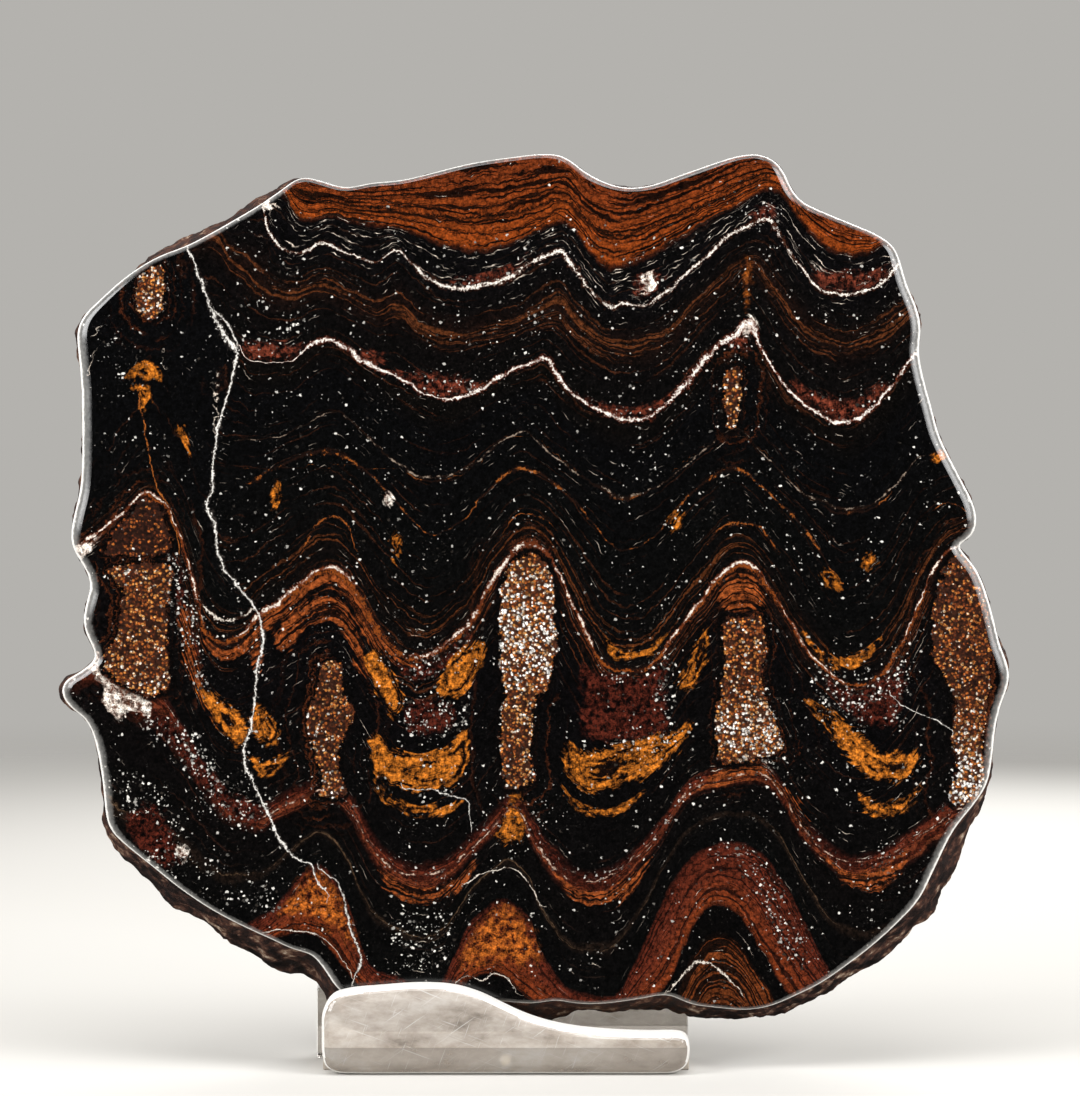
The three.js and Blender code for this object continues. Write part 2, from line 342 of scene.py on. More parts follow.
FAINT = [
    (180, 420), (240, 440), (280, 436), (330, 412), (350, 420), (370, 440), (400, 465), (430, 478),
    (460, 472), (490, 450), (510, 437), (525, 430), (540, 445), (570, 468), (600, 487), (625, 498),
    (650, 490), (680, 470), (735, 430), (765, 455), (800, 490), (840, 508), (870, 505), (900, 480),
    (925, 450), (980, 430),
]
BROKEN_ORANGE = [
    (180, 470), (250, 482), (280, 465), (310, 455), (330, 450), (350, 460), (375, 480), (395, 500),
    (430, 535), (460, 522), (480, 500), (500, 480), (520, 468), (540, 475), (570, 495), (590, 520),
    (620, 550), (650, 540), (670, 520), (690, 495), (715, 475), (735, 466), (755, 480), (780, 505),
    (805, 530), (840, 582), (880, 560), (905, 520), (930, 490), (990, 470),
]
MAIN_WHITE = [
    (60, 550), (78, 548), (100, 530), (125, 510), (148, 493), (165, 505), (180, 535), (190, 570),
    (197, 600), (205, 625), (220, 640), (240, 635), (258, 615), (285, 597), (310, 575), (330, 566),
    (345, 573), (360, 595), (385, 635), (410, 655), (430, 655), (450, 640), (470, 622), (490, 585),
    (505, 562), (520, 546), (535, 543), (550, 556), (562, 580), (575, 610), (590, 640), (610, 668),
    (640, 670), (665, 650), (685, 620), (705, 595), (722, 572), (742, 562), (760, 572), (785, 610),
    (800, 638), (820, 662), (850, 685), (880, 675), (905, 635), (925, 588), (945, 553), (960, 544),
    (1012, 520),
]
LOWER_RUST = [
    (60, 650), (100, 665), (130, 690), (160, 705), (185, 740), (205, 775), (225, 805), (245, 815),
    (262, 818), (285, 805), (305, 797), (325, 790), (340, 795), (355, 815), (375, 850), (400, 872),
    (425, 878), (450, 868), (475, 845), (495, 825), (510, 808), (520, 815), (535, 840), (555, 868),
    (580, 885), (610, 880), (640, 855), (665, 825), (680, 800), (700, 785), (730, 778), (760, 773),
    (780, 790), (800, 825), (825, 850), (850, 865), (880, 862), (910, 845), (935, 825), (960, 808),
    (1012, 785),
]
DOME_TOP = [
    (60, 905), (200, 935), (240, 928), (268, 915), (290, 892), (303, 874), (320, 866), (336, 882),
    (350, 910), (362, 950), (376, 970), (420, 985), (441, 983), (455, 955), (472, 922), (497, 901),
    (515, 906), (530, 920), (541, 953), (567, 990), (590, 998), (617, 996), (634, 965), (649, 934),
    (668, 890), (693, 858), (731, 842), (763, 858), (788, 890), (807, 928), (826, 966), (845, 985),
    (900, 985), (1012, 940),
]
DOME_CORE = [
    (60, 915), (200, 945), (255, 945), (275, 936), (300, 930), (322, 938), (340, 960), (360, 985),
    (400, 1005), (440, 1003), (459, 985), (480, 973), (500, 973), (516, 985), (540, 1003),
    (600, 1020), (640, 1012), (666, 985), (684, 945), (693, 926), (712, 904), (738, 913), (763, 950),
    (788, 990), (830, 1012), (1012, 990),
]
LEFT_CRUST = [
    (60, 320), (80, 300), (130, 255), (188, 225), (262, 210),
]
LEFT_MIDDLE = [
    (60, 455), (100, 425), (130, 385), (148, 362), (165, 388), (185, 425), (210, 470), (262, 520),
]
LEFT_FAINT = [
    (60, 515), (90, 505), (125, 475), (148, 447), (168, 470), (188, 505), (208, 550), (228, 580),
    (262, 605),
]

# %% Height in the pile of layers
RIGHT_LEVELS = [  # height in mm, as measured in the troughs between the columns
    (192, CRUST_TOP), (178, ORANGE_FOOT), (170, UPPER_WHITE), (161, BROWN), (146, MIDDLE_WHITE),
    (129, FAINT), (119, BROKEN_ORANGE), (97, MAIN_WHITE), (53, LOWER_RUST), (33, DOME_TOP), (21, DOME_CORE),
]
LEFT_LEVELS = [
    (137, LEFT_CRUST), (132, LEFT_MIDDLE), (126, LEFT_FAINT), (97, MAIN_WHITE), (53, LOWER_RUST),
    (33, DOME_TOP), (21, DOME_CORE),
]
LEAST_LAYER = 3  # pixels between two key laminae, at least


def flowing(points, closed=False, steps=6):
    """A smooth path through points, as a Catmull-Rom curve."""
    p = np.array(points, float)
    if closed:
        p = np.vstack([p[-1], p, p[0], p[1]])
    else:
        p = np.vstack([2 * p[0] - p[1], p, 2 * p[-1] - p[-2]])
    t = np.linspace(0, 1, steps, endpoint=False)[:, None]
    path = []
    for a, b, c, d in zip(p, p[1:], p[2:], p[3:]):
        path.append(0.5 * (2 * b + (c - a) * t + (2 * a - 5 * b + 4 * c - d) * t**2
                           + (3 * b - a - 3 * c + d) * t**3))
    return np.vstack(path + [p[-2]])


def height_in_pile(u, v, levels):
    """The height of each pixel point in the pile, between the key laminae above and below it."""
    height = np.full(len(u), np.nan)
    upper = None
    for level, points in levels:
        path = flowing(points)
        row = np.interp(u, np.maximum.accumulate(path[:, 0]), path[:, 1])
        if upper is None:
            height = level + (row - v) / PIXELS_PER_MM
        else:
            row = np.maximum(row, upper[1] + LEAST_LAYER)
            inside = v >= upper[1]
            share = (v - upper[1]) / (row - upper[1])
            height = np.where(inside, upper[0] + share * (level - upper[0]), height)
        upper = (level, row)
    below = v >= upper[1]
    return np.where(below, upper[0] - (v - upper[1]) / PIXELS_PER_MM, height)


def pixel_of(points):
    """The pixel column and row of points given in metres."""
    return MIDDLE_U + points[:, 0] * 1000 * PIXELS_PER_MM, GROUND_V - points[:, 2] * 1000 * PIXELS_PER_MM


def layers_at(points):
    u, v = pixel_of(points)
    crack = np.array(CRACK, float)
    left = u < np.interp(v, crack[:, 1], crack[:, 0])
    return np.where(left, height_in_pile(u, v, LEFT_LEVELS), height_in_pile(u, v, RIGHT_LEVELS))


print("pile of layers:", len(RIGHT_LEVELS), "key laminae over", RIGHT_LEVELS[0][0], "mm")

# %% [markdown]
# ## The weathered rind
#
# The sides of the slab are the outside of the natural lump: pitted, with hard layers standing a little proud.
# Each point of the rind moves along its normal by a sum of lumps, fine grit and the layers' own ledges.
# The movement fades to nothing at the bevel and at the flat foot that the stone stands on.

# %% Rind
LUMP_MM = (0.55, 4.5)  # height and size of the lumps
GRIT_MM = (0.22, 1.3)
LEDGE_MM = (0.30, 2.2)
RIND_FADE_MM = 1.8

foot_z = slice_low.z
back_y = slice_high.y
side_layers = layers_at(side_points)
behind = np.clip((side_points[:, 1] - rim_y) * 1000 / RIND_FADE_MM, 0, 1)
above = np.clip((side_points[:, 2] - foot_z) * 1000 / RIND_FADE_MM, 0, 1)
moved = []
for point, layer in zip(side_points * 1000, side_layers):
    lump = LUMP_MM[0] * noise.fractal(Vector(point) / LUMP_MM[1], 0.9, 2.0, 3)
    grit = GRIT_MM[0] * noise.noise(Vector(point) / GRIT_MM[1])
    ledge = LEDGE_MM[0] * noise.noise(Vector((0, point[1] / 9, layer / LEDGE_MM[1])))
    moved.append(lump + grit + ledge)
moved = np.array(moved) * behind * above / 1000
outward = side_normals * [1, 0, 1]
outward /= np.maximum(np.linalg.norm(outward, axis=1), 1e-6)[:, None]
side_points = side_points + outward * moved[:, None]
side_points[:, 2] = np.maximum(side_points[:, 2], foot_z)
print("rind moved by", round(float(np.abs(moved).max()) * 1000, 2), "mm at most")

# %% [markdown]
# The flat front and back are filled with an even net: points on a honeycomb, joined to the sides' last row
# by a Delaunay triangulation, which makes the triangles as even as they can be.

# %% Flat faces
FRONT_STEP_MM = 0.82
BACK_STEP_MM = 1.5


def inside_loops(points, loops):
    """Whether each point lies inside the loops, by counting the edges to one side of it."""
    inside = np.zeros(len(points), bool)
    for loop in loops:
        for (ax, az), (bx, bz) in zip(loop, np.roll(loop, -1, axis=0)):
            if az == bz:
                continue
            crosses = (az > points[:, 1]) != (bz > points[:, 1])
            inside ^= crosses & (points[:, 0] < ax + (points[:, 1] - az) * (bx - ax) / (bz - az))
    return inside


def fill_flat(points, loops, step):
    """New points, in the same plane, and triangles that fill the loops with an even net."""
    flat = [points[loop][:, [0, 2]] for loop in loops]
    edge_points = np.vstack(flat)
    low, high = edge_points.min(0), edge_points.max(0)
    rows = np.arange(low[1], high[1], step * math.sqrt(3) / 2)
    honeycomb = np.array([(x + (r % 2) * step / 2, z) for r, z in enumerate(rows)
                          for x in np.arange(low[0], high[0], step)])
    honeycomb = honeycomb[inside_loops(honeycomb, flat)]
    near = kdtree.KDTree(len(edge_points))
    for i, (x, z) in enumerate(edge_points):
        near.insert((x, z, 0), i)
    near.balance()
    clear_of_edge = [near.find((x, z, 0))[2] > 0.6 * step for x, z in honeycomb]
    honeycomb = honeycomb[clear_of_edge]
    edges, start = [], 0
    for loop in flat:
        edges += [(start + i, start + (i + 1) % len(loop)) for i in range(len(loop))]
        start += len(loop)
    every = np.vstack([edge_points, honeycomb]) * 1000
    found = geometry.delaunay_2d_cdt([Vector(p) for p in every], edges, [], 1, 1e-6)
    name = [origin[0] for origin in found[3]]
    triangles = np.array([[name[i] for i in face] for face in found[2]])
    middles = every[triangles].mean(1) / 1000
    triangles = triangles[inside_loops(middles, flat)]
    index = np.concatenate([np.concatenate(loops), len(points) + np.arange(len(honeycomb))])
    plane = points[loops[0][0], 1]
    new = np.column_stack([honeycomb[:, 0], np.full(len(honeycomb), plane), honeycomb[:, 1]])
    return new, index[triangles]


def fill_ends(points, faces, front_step, back_step):
    """A closed net: the sides, with both flat ends filled."""
    loops = open_loops(faces)
    front_y, rear_y = points[:, 1].min(), points[:, 1].max()
    for plane, step, turn in ((front_y, front_step, 1), (rear_y, back_step, -1)):
        ends = [loop for loop in loops if abs(points[loop[0], 1] - plane) < 1e-5]
        new, triangles = fill_flat(points, ends, step)
        points = np.vstack([points, new])
        faces = faces + triangles[:, ::turn].tolist()
    return points, faces


slice_points, slice_faces = fill_ends(side_points, side_faces, FRONT_STEP_MM / 1000, BACK_STEP_MM / 1000)
slice_data = bpy.data.meshes.new("slice_stone")
slice_data.from_pydata(slice_points.tolist(), [], slice_faces)
slice_data.validate()
slice_data.shade_smooth()
stone = bpy.data.objects.new("slice_stone", slice_data)
bpy.context.scene.collection.objects.link(stone)
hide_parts("slice")
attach(stone, "root")
print("slice:", len(slice_points), "points,", sum(len(f) - 2 for f in slice_faces), "triangles")

# %% [markdown]
# The edge of the polished face is marked sharp, so that the face stays a flat mirror right up to its bevel.

# %% Sharp edge of the face
face_edge = np.zeros(len(slice_data.edges), bool)
for loop in open_loops(side_faces):
    if abs(slice_points[loop[0], 1] - face_y) < 1e-5:
        on_edge = set(loop)
for i, edge in enumerate(slice_data.edges):
    face_edge[i] = edge.vertices[0] in on_edge and edge.vertices[1] in on_edge
sharp = slice_data.attributes.new("sharp_edge", "BOOLEAN", "EDGE")
sharp.data.foreach_set("value", face_edge)
print("sharp edges:", int(face_edge.sum()))

# %% [markdown]
# ## Thin white laminae and the healed crack
#
# Quartz fills the crack and marks some of the layers as lines less than a millimetre wide.
# A line that thin would break up if it were painted on the points, which are further apart than that.
# So each point stores how far it is from the line, with a sign for its side, in half-widths of the line:
# that number is smooth, and the shader can cut a crisp line out of it where it passes through zero.
# Each line runs on across the whole stone with no width, so the sign only ever changes on a line.

# %% Thin lines
# Each point is a pixel column, a pixel row and the line's half-width there in pixels.
THIN_LINES = {
    "upper_white": [[
        (262, 200, 1.5), (266, 225, 1.5), (280, 247, 1.8), (300, 253, 1.5), (325, 243, 2),
        (350, 253, 1.2), (372, 262, 1.8), (385, 256, 1.2), (398, 249, 1.6), (410, 262, 1.8),
        (430, 278, 2.2), (450, 286, 2.5), (480, 286, 2.5), (510, 275, 3), (540, 258, 2.5),
        (562, 251, 2), (570, 262, 2), (590, 288, 2), (608, 308, 2.2), (625, 303, 1.8), (645, 305, 2),
        (670, 290, 2.2), (700, 262, 1.8), (730, 235, 2), (755, 222, 2.5), (770, 222, 3),
        (785, 245, 2), (800, 265, 1.5), (820, 290, 1.6), (845, 294, 1.8), (870, 290, 1.6),
        (890, 275, 1.8), (901, 262, 2),
    ]],
    "middle_white": [[
        (240, 345, 0.5), (250, 360, 0.5), (285, 362, 0.5), (300, 355, 1), (310, 345, 1.8),
        (325, 338, 2.4), (345, 345, 2.6), (360, 358, 3), (380, 369, 2.6), (400, 380, 1.3),
        (430, 395, 1), (450, 401, 1.4), (480, 388, 2.6), (510, 372, 2.3), (530, 365, 2.4),
        (545, 358, 2.5), (560, 378, 1.8), (580, 400, 1.8), (610, 415, 2.5), (640, 420, 2.8),
        (660, 410, 2.5), (680, 390, 3), (700, 365, 3.4), (720, 345, 3.4), (735, 335, 3.8),
        (748, 322, 4), (760, 345, 2), (780, 380, 1.4), (800, 400, 1.4), (820, 415, 2),
        (845, 424, 2.4), (870, 410, 2.4), (890, 388, 1.6), (910, 360, 1.8), (920, 352, 2),
    ]],
    "main_white": [[
        (78, 548, 2.2), (100, 530, 1.4), (125, 510, 1.5), (148, 493, 1.8), (165, 505, 1),
        (180, 535, 0.9), (190, 570, 1), (197, 600, 1.2), (203, 622, 0.3), (206, 627, 0),
        (220, 640, 0), (236, 638, 0), (242, 634, 1), (258, 615, 2.2), (285, 597, 2.4), (310, 575, 2),
        (330, 567, 1.8), (345, 574, 1.2), (356, 590, 0), (385, 635, 0), (405, 654, 0),
        (412, 656, 1.2), (430, 656, 1.6), (450, 640, 2), (470, 622, 2.2), (490, 585, 2.4),
        (505, 562, 2.6), (520, 546, 3), (535, 543, 3), (550, 556, 2), (562, 580, 1), (575, 610, 1.8),
        (590, 642, 1.4), (600, 656, 0), (640, 670, 0), (660, 655, 0), (666, 649, 1), (685, 620, 1.8),
        (705, 595, 1.6), (722, 572, 1.8), (742, 562, 2), (760, 572, 1.2), (772, 590, 0),
        (782, 606, 0.6), (800, 638, 1.2), (820, 662, 1), (840, 680, 0.8), (850, 685, 0),
        (880, 675, 0), (900, 645, 0), (906, 634, 0.8), (925, 588, 0.9), (945, 553, 1.4),
        (960, 544, 1.4),
    ]],
    "main_rust": [[
        (140, 498, 0), (148, 495, 2), (165, 508, 2), (180, 538, 2), (190, 572, 2), (198, 602, 2),
        (203, 628, 2.4), (220, 642, 3), (240, 637, 3), (258, 617, 3.4), (285, 600, 4),
        (310, 579, 4.4), (330, 571, 4.4), (345, 578, 4), (360, 600, 4), (385, 640, 4), (410, 659, 3),
        (440, 652, 2.4), (470, 626, 2.4), (490, 590, 2), (500, 572, 0), (535, 546, 0), (556, 566, 0),
        (562, 580, 1.4), (575, 612, 1.8), (590, 644, 2.4), (610, 668, 2), (640, 671, 2),
        (665, 650, 2.4), (685, 622, 3), (705, 598, 3), (722, 576, 3), (742, 566, 3.4), (760, 576, 3),
        (785, 612, 2.6), (800, 640, 2.6), (820, 664, 2.4), (850, 686, 2), (880, 676, 2.4),
        (905, 637, 2.4), (925, 592, 2),
    ]],
    "faint": [[
        (240, 440, 0.8), (280, 436, 0.7), (330, 412, 1), (350, 420, 1.2), (370, 440, 1.2),
        (400, 465, 1.2), (430, 478, 1.4), (460, 472, 1.3), (490, 450, 1.2), (510, 437, 1.2),
        (525, 430, 1), (540, 445, 1), (570, 468, 1), (600, 487, 1.4), (625, 498, 1.8),
        (650, 490, 1.3), (680, 470, 0.9), (735, 430, 0.7), (765, 455, 0.8), (800, 490, 1.2),
        (840, 508, 1.6), (870, 505, 1.4), (900, 480, 1), (920, 455, 0.8),
    ]],
    "broken_orange": [
        [(250, 482, 1.2), (280, 465, 1.6), (310, 455, 2.2), (330, 452, 2.2), (350, 460, 1.6),
         (375, 480, 1.6), (395, 500, 1.2), (430, 535, 0.7), (460, 522, 0.7), (480, 500, 1.2),
         (500, 480, 1.8), (520, 468, 2.2), (540, 475, 1.8), (570, 495, 1.2), (590, 520, 1),
         (620, 550, 0.7), (650, 540, 0.8), (670, 520, 1.2), (690, 495, 1.4), (715, 475, 1.8),
         (735, 468, 1.8), (755, 480, 1.4), (780, 505, 1.2), (805, 530, 1.4), (840, 582, 1)],
        [(400, 468, 0), (430, 482, 1), (455, 477, 1), (470, 470, 0), (520, 434, 0), (585, 478, 0),
         (595, 486, 1), (612, 495, 1.6), (630, 500, 1.8), (648, 492, 1.2), (660, 484, 0),
         (735, 434, 0), (810, 498, 0), (825, 507, 1), (845, 513, 1.6), (868, 510, 1.4), (885, 500, 1),
         (895, 490, 0)],
    ],
    "arc_orange": [[
        (250, 555, 0), (300, 552, 0), (305, 545, 1), (318, 524, 1.6), (333, 516, 1.8),
        (346, 526, 1.4), (355, 545, 1), (362, 554, 0), (430, 612, 0), (495, 540, 0), (512, 520, 0.8),
        (530, 513, 1), (548, 520, 0.8), (560, 535, 0), (640, 622, 0), (700, 552, 0), (705, 545, 1),
        (722, 528, 1.4), (742, 522, 1.4), (762, 530, 1.2), (775, 548, 1), (782, 556, 0),
        (850, 640, 0), (925, 520, 0), (935, 508, 0.8), (950, 503, 1.2), (962, 508, 1), (970, 514, 0),
    ]],
    "lower_white": [[
        (262, 818, 1), (285, 805, 1.2), (305, 797, 1.4), (325, 790, 1.2), (340, 795, 0.9),
        (355, 815, 0.8), (375, 850, 0.9), (400, 872, 1.2), (425, 876, 1.4), (450, 866, 1.4),
        (475, 845, 1), (495, 825, 1), (510, 808, 1), (520, 815, 1), (535, 840, 1.6), (555, 868, 1.2),
        (580, 882, 1), (610, 876, 0.9), (640, 852, 0.9), (665, 825, 1.2), (680, 800, 1.2),
        (700, 785, 1.2), (730, 778, 1), (760, 773, 1), (780, 790, 1.2), (800, 825, 1),
        (825, 850, 0.8), (850, 862, 0.7), (880, 858, 0.7), (910, 842, 0.7), (960, 808, 0.8),
    ]],
    "core_white": [
        [(250, 938, 0), (262, 934, 0.8), (285, 930, 1), (315, 934, 1), (335, 948, 0.8),
         (350, 970, 0.7), (358, 985, 0), (400, 1006, 0), (445, 995, 0), (456, 982, 1),
         (470, 976, 1.1), (482, 980, 0.9), (492, 974, 1.2), (505, 976, 1), (515, 988, 1),
         (525, 998, 0), (600, 1022, 0), (655, 1002, 0), (668, 992, 1.4), (690, 966, 1.6),
         (705, 962, 1.8), (722, 972, 1.4), (738, 990, 0.8), (748, 1000, 0)],
        [(465, 884, 0.7), (490, 872, 0.9), (510, 868, 0.9), (528, 882, 0.8), (541, 909, 0.6)],
        [(198, 600, 1.2), (208, 612, 2), (222, 620, 2.4), (238, 619, 2), (252, 610, 1.2)],
    ],
    "band_black": [
        [(285, 186, 1.6), (332, 203, 2.2), (377, 208, 2.2), (422, 215, 2.6), (483, 218, 2.8),
         (528, 210, 2.4), (562, 200, 2.2), (580, 214, 2.4), (595, 228, 2.6), (618, 236, 2.6),
         (646, 228, 2.2), (674, 217, 2.2), (700, 206, 2), (730, 194, 2), (763, 180, 1.8),
         (780, 186, 1.6), (800, 215, 1.4)],
        [(299, 189, 1), (360, 198, 1.2), (422, 206, 1.2), (483, 208, 1.4), (530, 198, 1.2),
         (556, 189, 1.2), (578, 203, 1.2), (595, 214, 1.2), (618, 222, 1.2), (674, 205, 1),
         (730, 186, 1), (765, 172, 1)],
        [(400, 195, 0.7), (439, 194, 0.8), (506, 192, 0.8), (556, 178, 0.8), (584, 197, 0.8),
         (618, 208, 0.8), (680, 192, 0.7), (740, 174, 0.6)],
        [(321, 211, 0.9), (400, 219, 1), (440, 226, 1), (472, 234, 1), (528, 228, 1), (556, 213, 1),
         (580, 232, 1), (600, 247, 1), (622, 252, 1), (660, 236, 0.9), (730, 203, 0.9),
         (764, 187, 0.9)],
    ],
    "left_orange": [[
        (137, 395, 1.4), (143, 420, 1.2), (147, 445, 1.2), (152, 470, 1), (160, 490, 1),
        (172, 520, 1), (180, 550, 0.8),
    ]],
    "crack_strand": [
        [(318, 868, 0.7), (330, 876, 0.9), (338, 884, 1.2), (346, 908, 1.4), (353, 932, 1.5),
         (360, 958, 1.4), (355, 978, 1.3), (350, 992, 1.2)],
        [(214, 312, 1), (224, 318, 1.3), (232, 330, 1.4), (238, 344, 1.2)],
        [(402, 789, 0.7), (425, 790, 0.9), (440, 793, 1), (456, 797, 1), (468, 804, 1),
         (470, 815, 0.9), (472, 827, 0.8)],
        [(890, 696, 0.6), (915, 712, 0.7), (935, 720, 0.7), (953, 733, 0.8)],
    ],
    "crack": [[
        (188, 248, 1.4), (200, 275, 1.8), (207, 298, 1.8), (214, 315, 2.6), (222, 332, 3.4),
        (234, 346, 3), (238, 354, 2.2), (231, 375, 1.6), (228, 395, 1.5), (220, 420, 1.5),
        (215, 445, 1.8), (213, 470, 1.8), (211, 490, 1.6), (207, 505, 2.2), (215, 530, 1.6),
        (220, 560, 1.6), (235, 585, 1.6), (255, 608, 1.6), (262, 630, 1.7), (261, 655, 1.8),
        (256, 680, 1.8), (252, 705, 1.8), (250, 728, 2), (244, 758, 2.2), (255, 788, 1.8),
        (265, 808, 2), (280, 840, 2), (296, 858, 1.8), (312, 866, 1.6), (317, 882, 1.2),
        (328, 896, 0.8),
    ]],
}
UPRIGHT = {"crack", "crack_strand", "left_orange"}  # these run down the stone, and the others across it
LINE_WEIGHT = 0.52  # the pure white core is narrower than the whole line
NO_WIDTH = 0.0005  # half-width in pixels where a line is absent
TAPER = 8  # pixels over which a line's end tapers off
FAR = 40  # pixels beyond which a distance no longer matters
WOBBLES_MM = [(0.45, 4.5), (0.35, 1.9)]  # how far the lines stray from a smooth course, over what length
KINK_MM = 0.09  # and by how much they kink from grain to grain
STRAY_SEED = 7

stray = np.random.default_rng(STRAY_SEED).normal(0, KINK_MM, (len(slice_points), 3))
noise.seed_set(STRAY_SEED)  # noise_vector would otherwise start from the time of day
for far, size in WOBBLES_MM:
    stray += far * np.array([noise.noise_vector(Vector(p) * 1000 / size) for p in slice_points])
slice_u, slice_v = pixel_of(slice_points + stray / 1000)


def distance_to(path):
    """Distance in pixels from each point of the slice to a path, and the path's half-width there."""
    u0, v0 = path[:, :2].min(0) - FAR
    u1, v1 = path[:, :2].max(0) + FAR
    near = np.flatnonzero((slice_u > u0) & (slice_u < u1) & (slice_v > v0) & (slice_v < v1))
    p = np.column_stack([slice_u[near], slice_v[near]])
    best = np.full(len(near), float(FAR))
    width = np.full(len(near), NO_WIDTH)
    for a, b in zip(path, path[1:]):
        along = b[:2] - a[:2]
        t = np.clip((p - a[:2]) @ along / max(along @ along, 1e-9), 0, 1)
        away = p - a[:2] - t[:, None] * along
        d = np.hypot(away[:, 0], away[:, 1])
        closer = d < best
        best[closer] = d[closer]
        if path.shape[1] > 2:
            width[closer] = a[2] + t[closer] * (b[2] - a[2])
    distance = np.full(len(slice_points), float(FAR))
    half_width = np.full(len(slice_points), NO_WIDTH)
    distance[near] = best
    half_width[near] = width
    return distance, half_width


def distance_to_lines(lines, upright):
    """Distance to the nearest of several lines, in its half-widths, with a sign that changes at each line."""
    sign = np.ones(len(slice_points))
    nearest = np.full(len(slice_points), FAR / NO_WIDTH)
    run, rise = (1, 0) if upright else (0, 1)
    for points in lines:
        path = flowing(points)
        ends = []
        for end, step in ((path[0], -1), (path[-1], 1)):
            for far in (TAPER, 30 * FAR):
                beyond = end.copy()
                beyond[run] += step * far
                beyond[2] = 0
                ends.append(beyond)
        path = np.vstack([ends[1], ends[0], path, ends[2], ends[3]])
        distance, half_width = distance_to(path)
        nearest = np.minimum(nearest, distance / np.maximum(half_width * LINE_WEIGHT, NO_WIDTH))
        place = np.maximum.accumulate(path[:, run])
        here, level = (slice_v, slice_u) if upright else (slice_u, slice_v)
        sign = np.where(level > np.interp(here, place, path[:, rise]), -sign, sign)
    return sign * nearest


def store(name, values):
    """Keeps one number on each point of the slice, for the shader to read."""
    attribute = slice_data.attributes.new(name, "FLOAT", "POINT")
    attribute.data.foreach_set("value", np.asarray(values, np.float32))


for name, lines in THIN_LINES.items():
    store(name, distance_to_lines(lines, name in UPRIGHT))
slice_layers = layers_at(slice_points)
store("layers", slice_layers)
print("thin lines:", ", ".join(THIN_LINES))

# %% [markdown]
# ## Columns, lenses and patches
#
# Between the two main laminae stand the columns: stacks of coarse grains, some white and some brown.
# Lenses of yellow-brown ochre fill the troughs between them, with stains of dark red iron oxide.
# Each is outlined by a few points. What is stored is the distance in from the outline, in millimetres,
# so that the shader can fray the edge, and can draw bands that run along with it.

# %% Outlines
COLUMNS = [  # an outline, and pairs of pixel row and paleness down the column
    ([(148, 498), (162, 510), (168, 530), (169, 553), (105, 555), (106, 545), (125, 515)],
     [(500, 0.12), (555, 0.12)]),
    ([(110, 566), (168, 566), (168, 600), (166, 640), (170, 665), (168, 690), (140, 692), (108, 672),
      (104, 655), (114, 640), (119, 615), (121, 595), (112, 578)],
     [(560, 0.4), (640, 0.4), (690, 0.56)]),
    ([(320, 662), (340, 664), (343, 690), (353, 715), (350, 728), (341, 745), (339, 765), (345, 790),
      (333, 798), (314, 798), (322, 785), (320, 770), (312, 748), (306, 722), (312, 700), (318, 680)],
     [(660, 0.42), (800, 0.42)]),
    ([(512, 562), (530, 553), (545, 562), (553, 582), (556, 640), (555, 665), (545, 690), (535, 700),
      (533, 720), (530, 760), (535, 780), (520, 790), (505, 785), (500, 750), (502, 715), (505, 690),
      (500, 660), (500, 620), (504, 585)],
     [(555, 0.5), (575, 0.72), (640, 0.9), (680, 0.75), (700, 0.5), (740, 0.5), (790, 0.42)]),
    ([(723, 620), (740, 615), (762, 620), (766, 650), (762, 680), (770, 705), (777, 730), (782, 750),
      (760, 758), (722, 764), (716, 745), (715, 715), (722, 690), (724, 660)],
     [(615, 0.32), (640, 0.46), (690, 0.42), (705, 0.66), (730, 0.84), (760, 0.55)]),
    ([(942, 572), (962, 550), (975, 562), (985, 590), (990, 640), (990, 690), (985, 740), (984, 780),
      (975, 800), (955, 805), (950, 790), (958, 770), (952, 740), (955, 705), (945, 680), (934, 660),
      (932, 630), (936, 600)],
     [(550, 0.3), (690, 0.42), (740, 0.6), (770, 0.9), (800, 1.0)]),
    ([(137, 300), (141, 276), (160, 264), (164, 290), (163, 312), (151, 320), (140, 312)],
     [(262, 0.4), (320, 0.75)]),
    ([(724, 372), (741, 369), (741, 392), (738, 420), (731, 432), (724, 405)],
     [(368, 0.48), (432, 0.5)]),
]
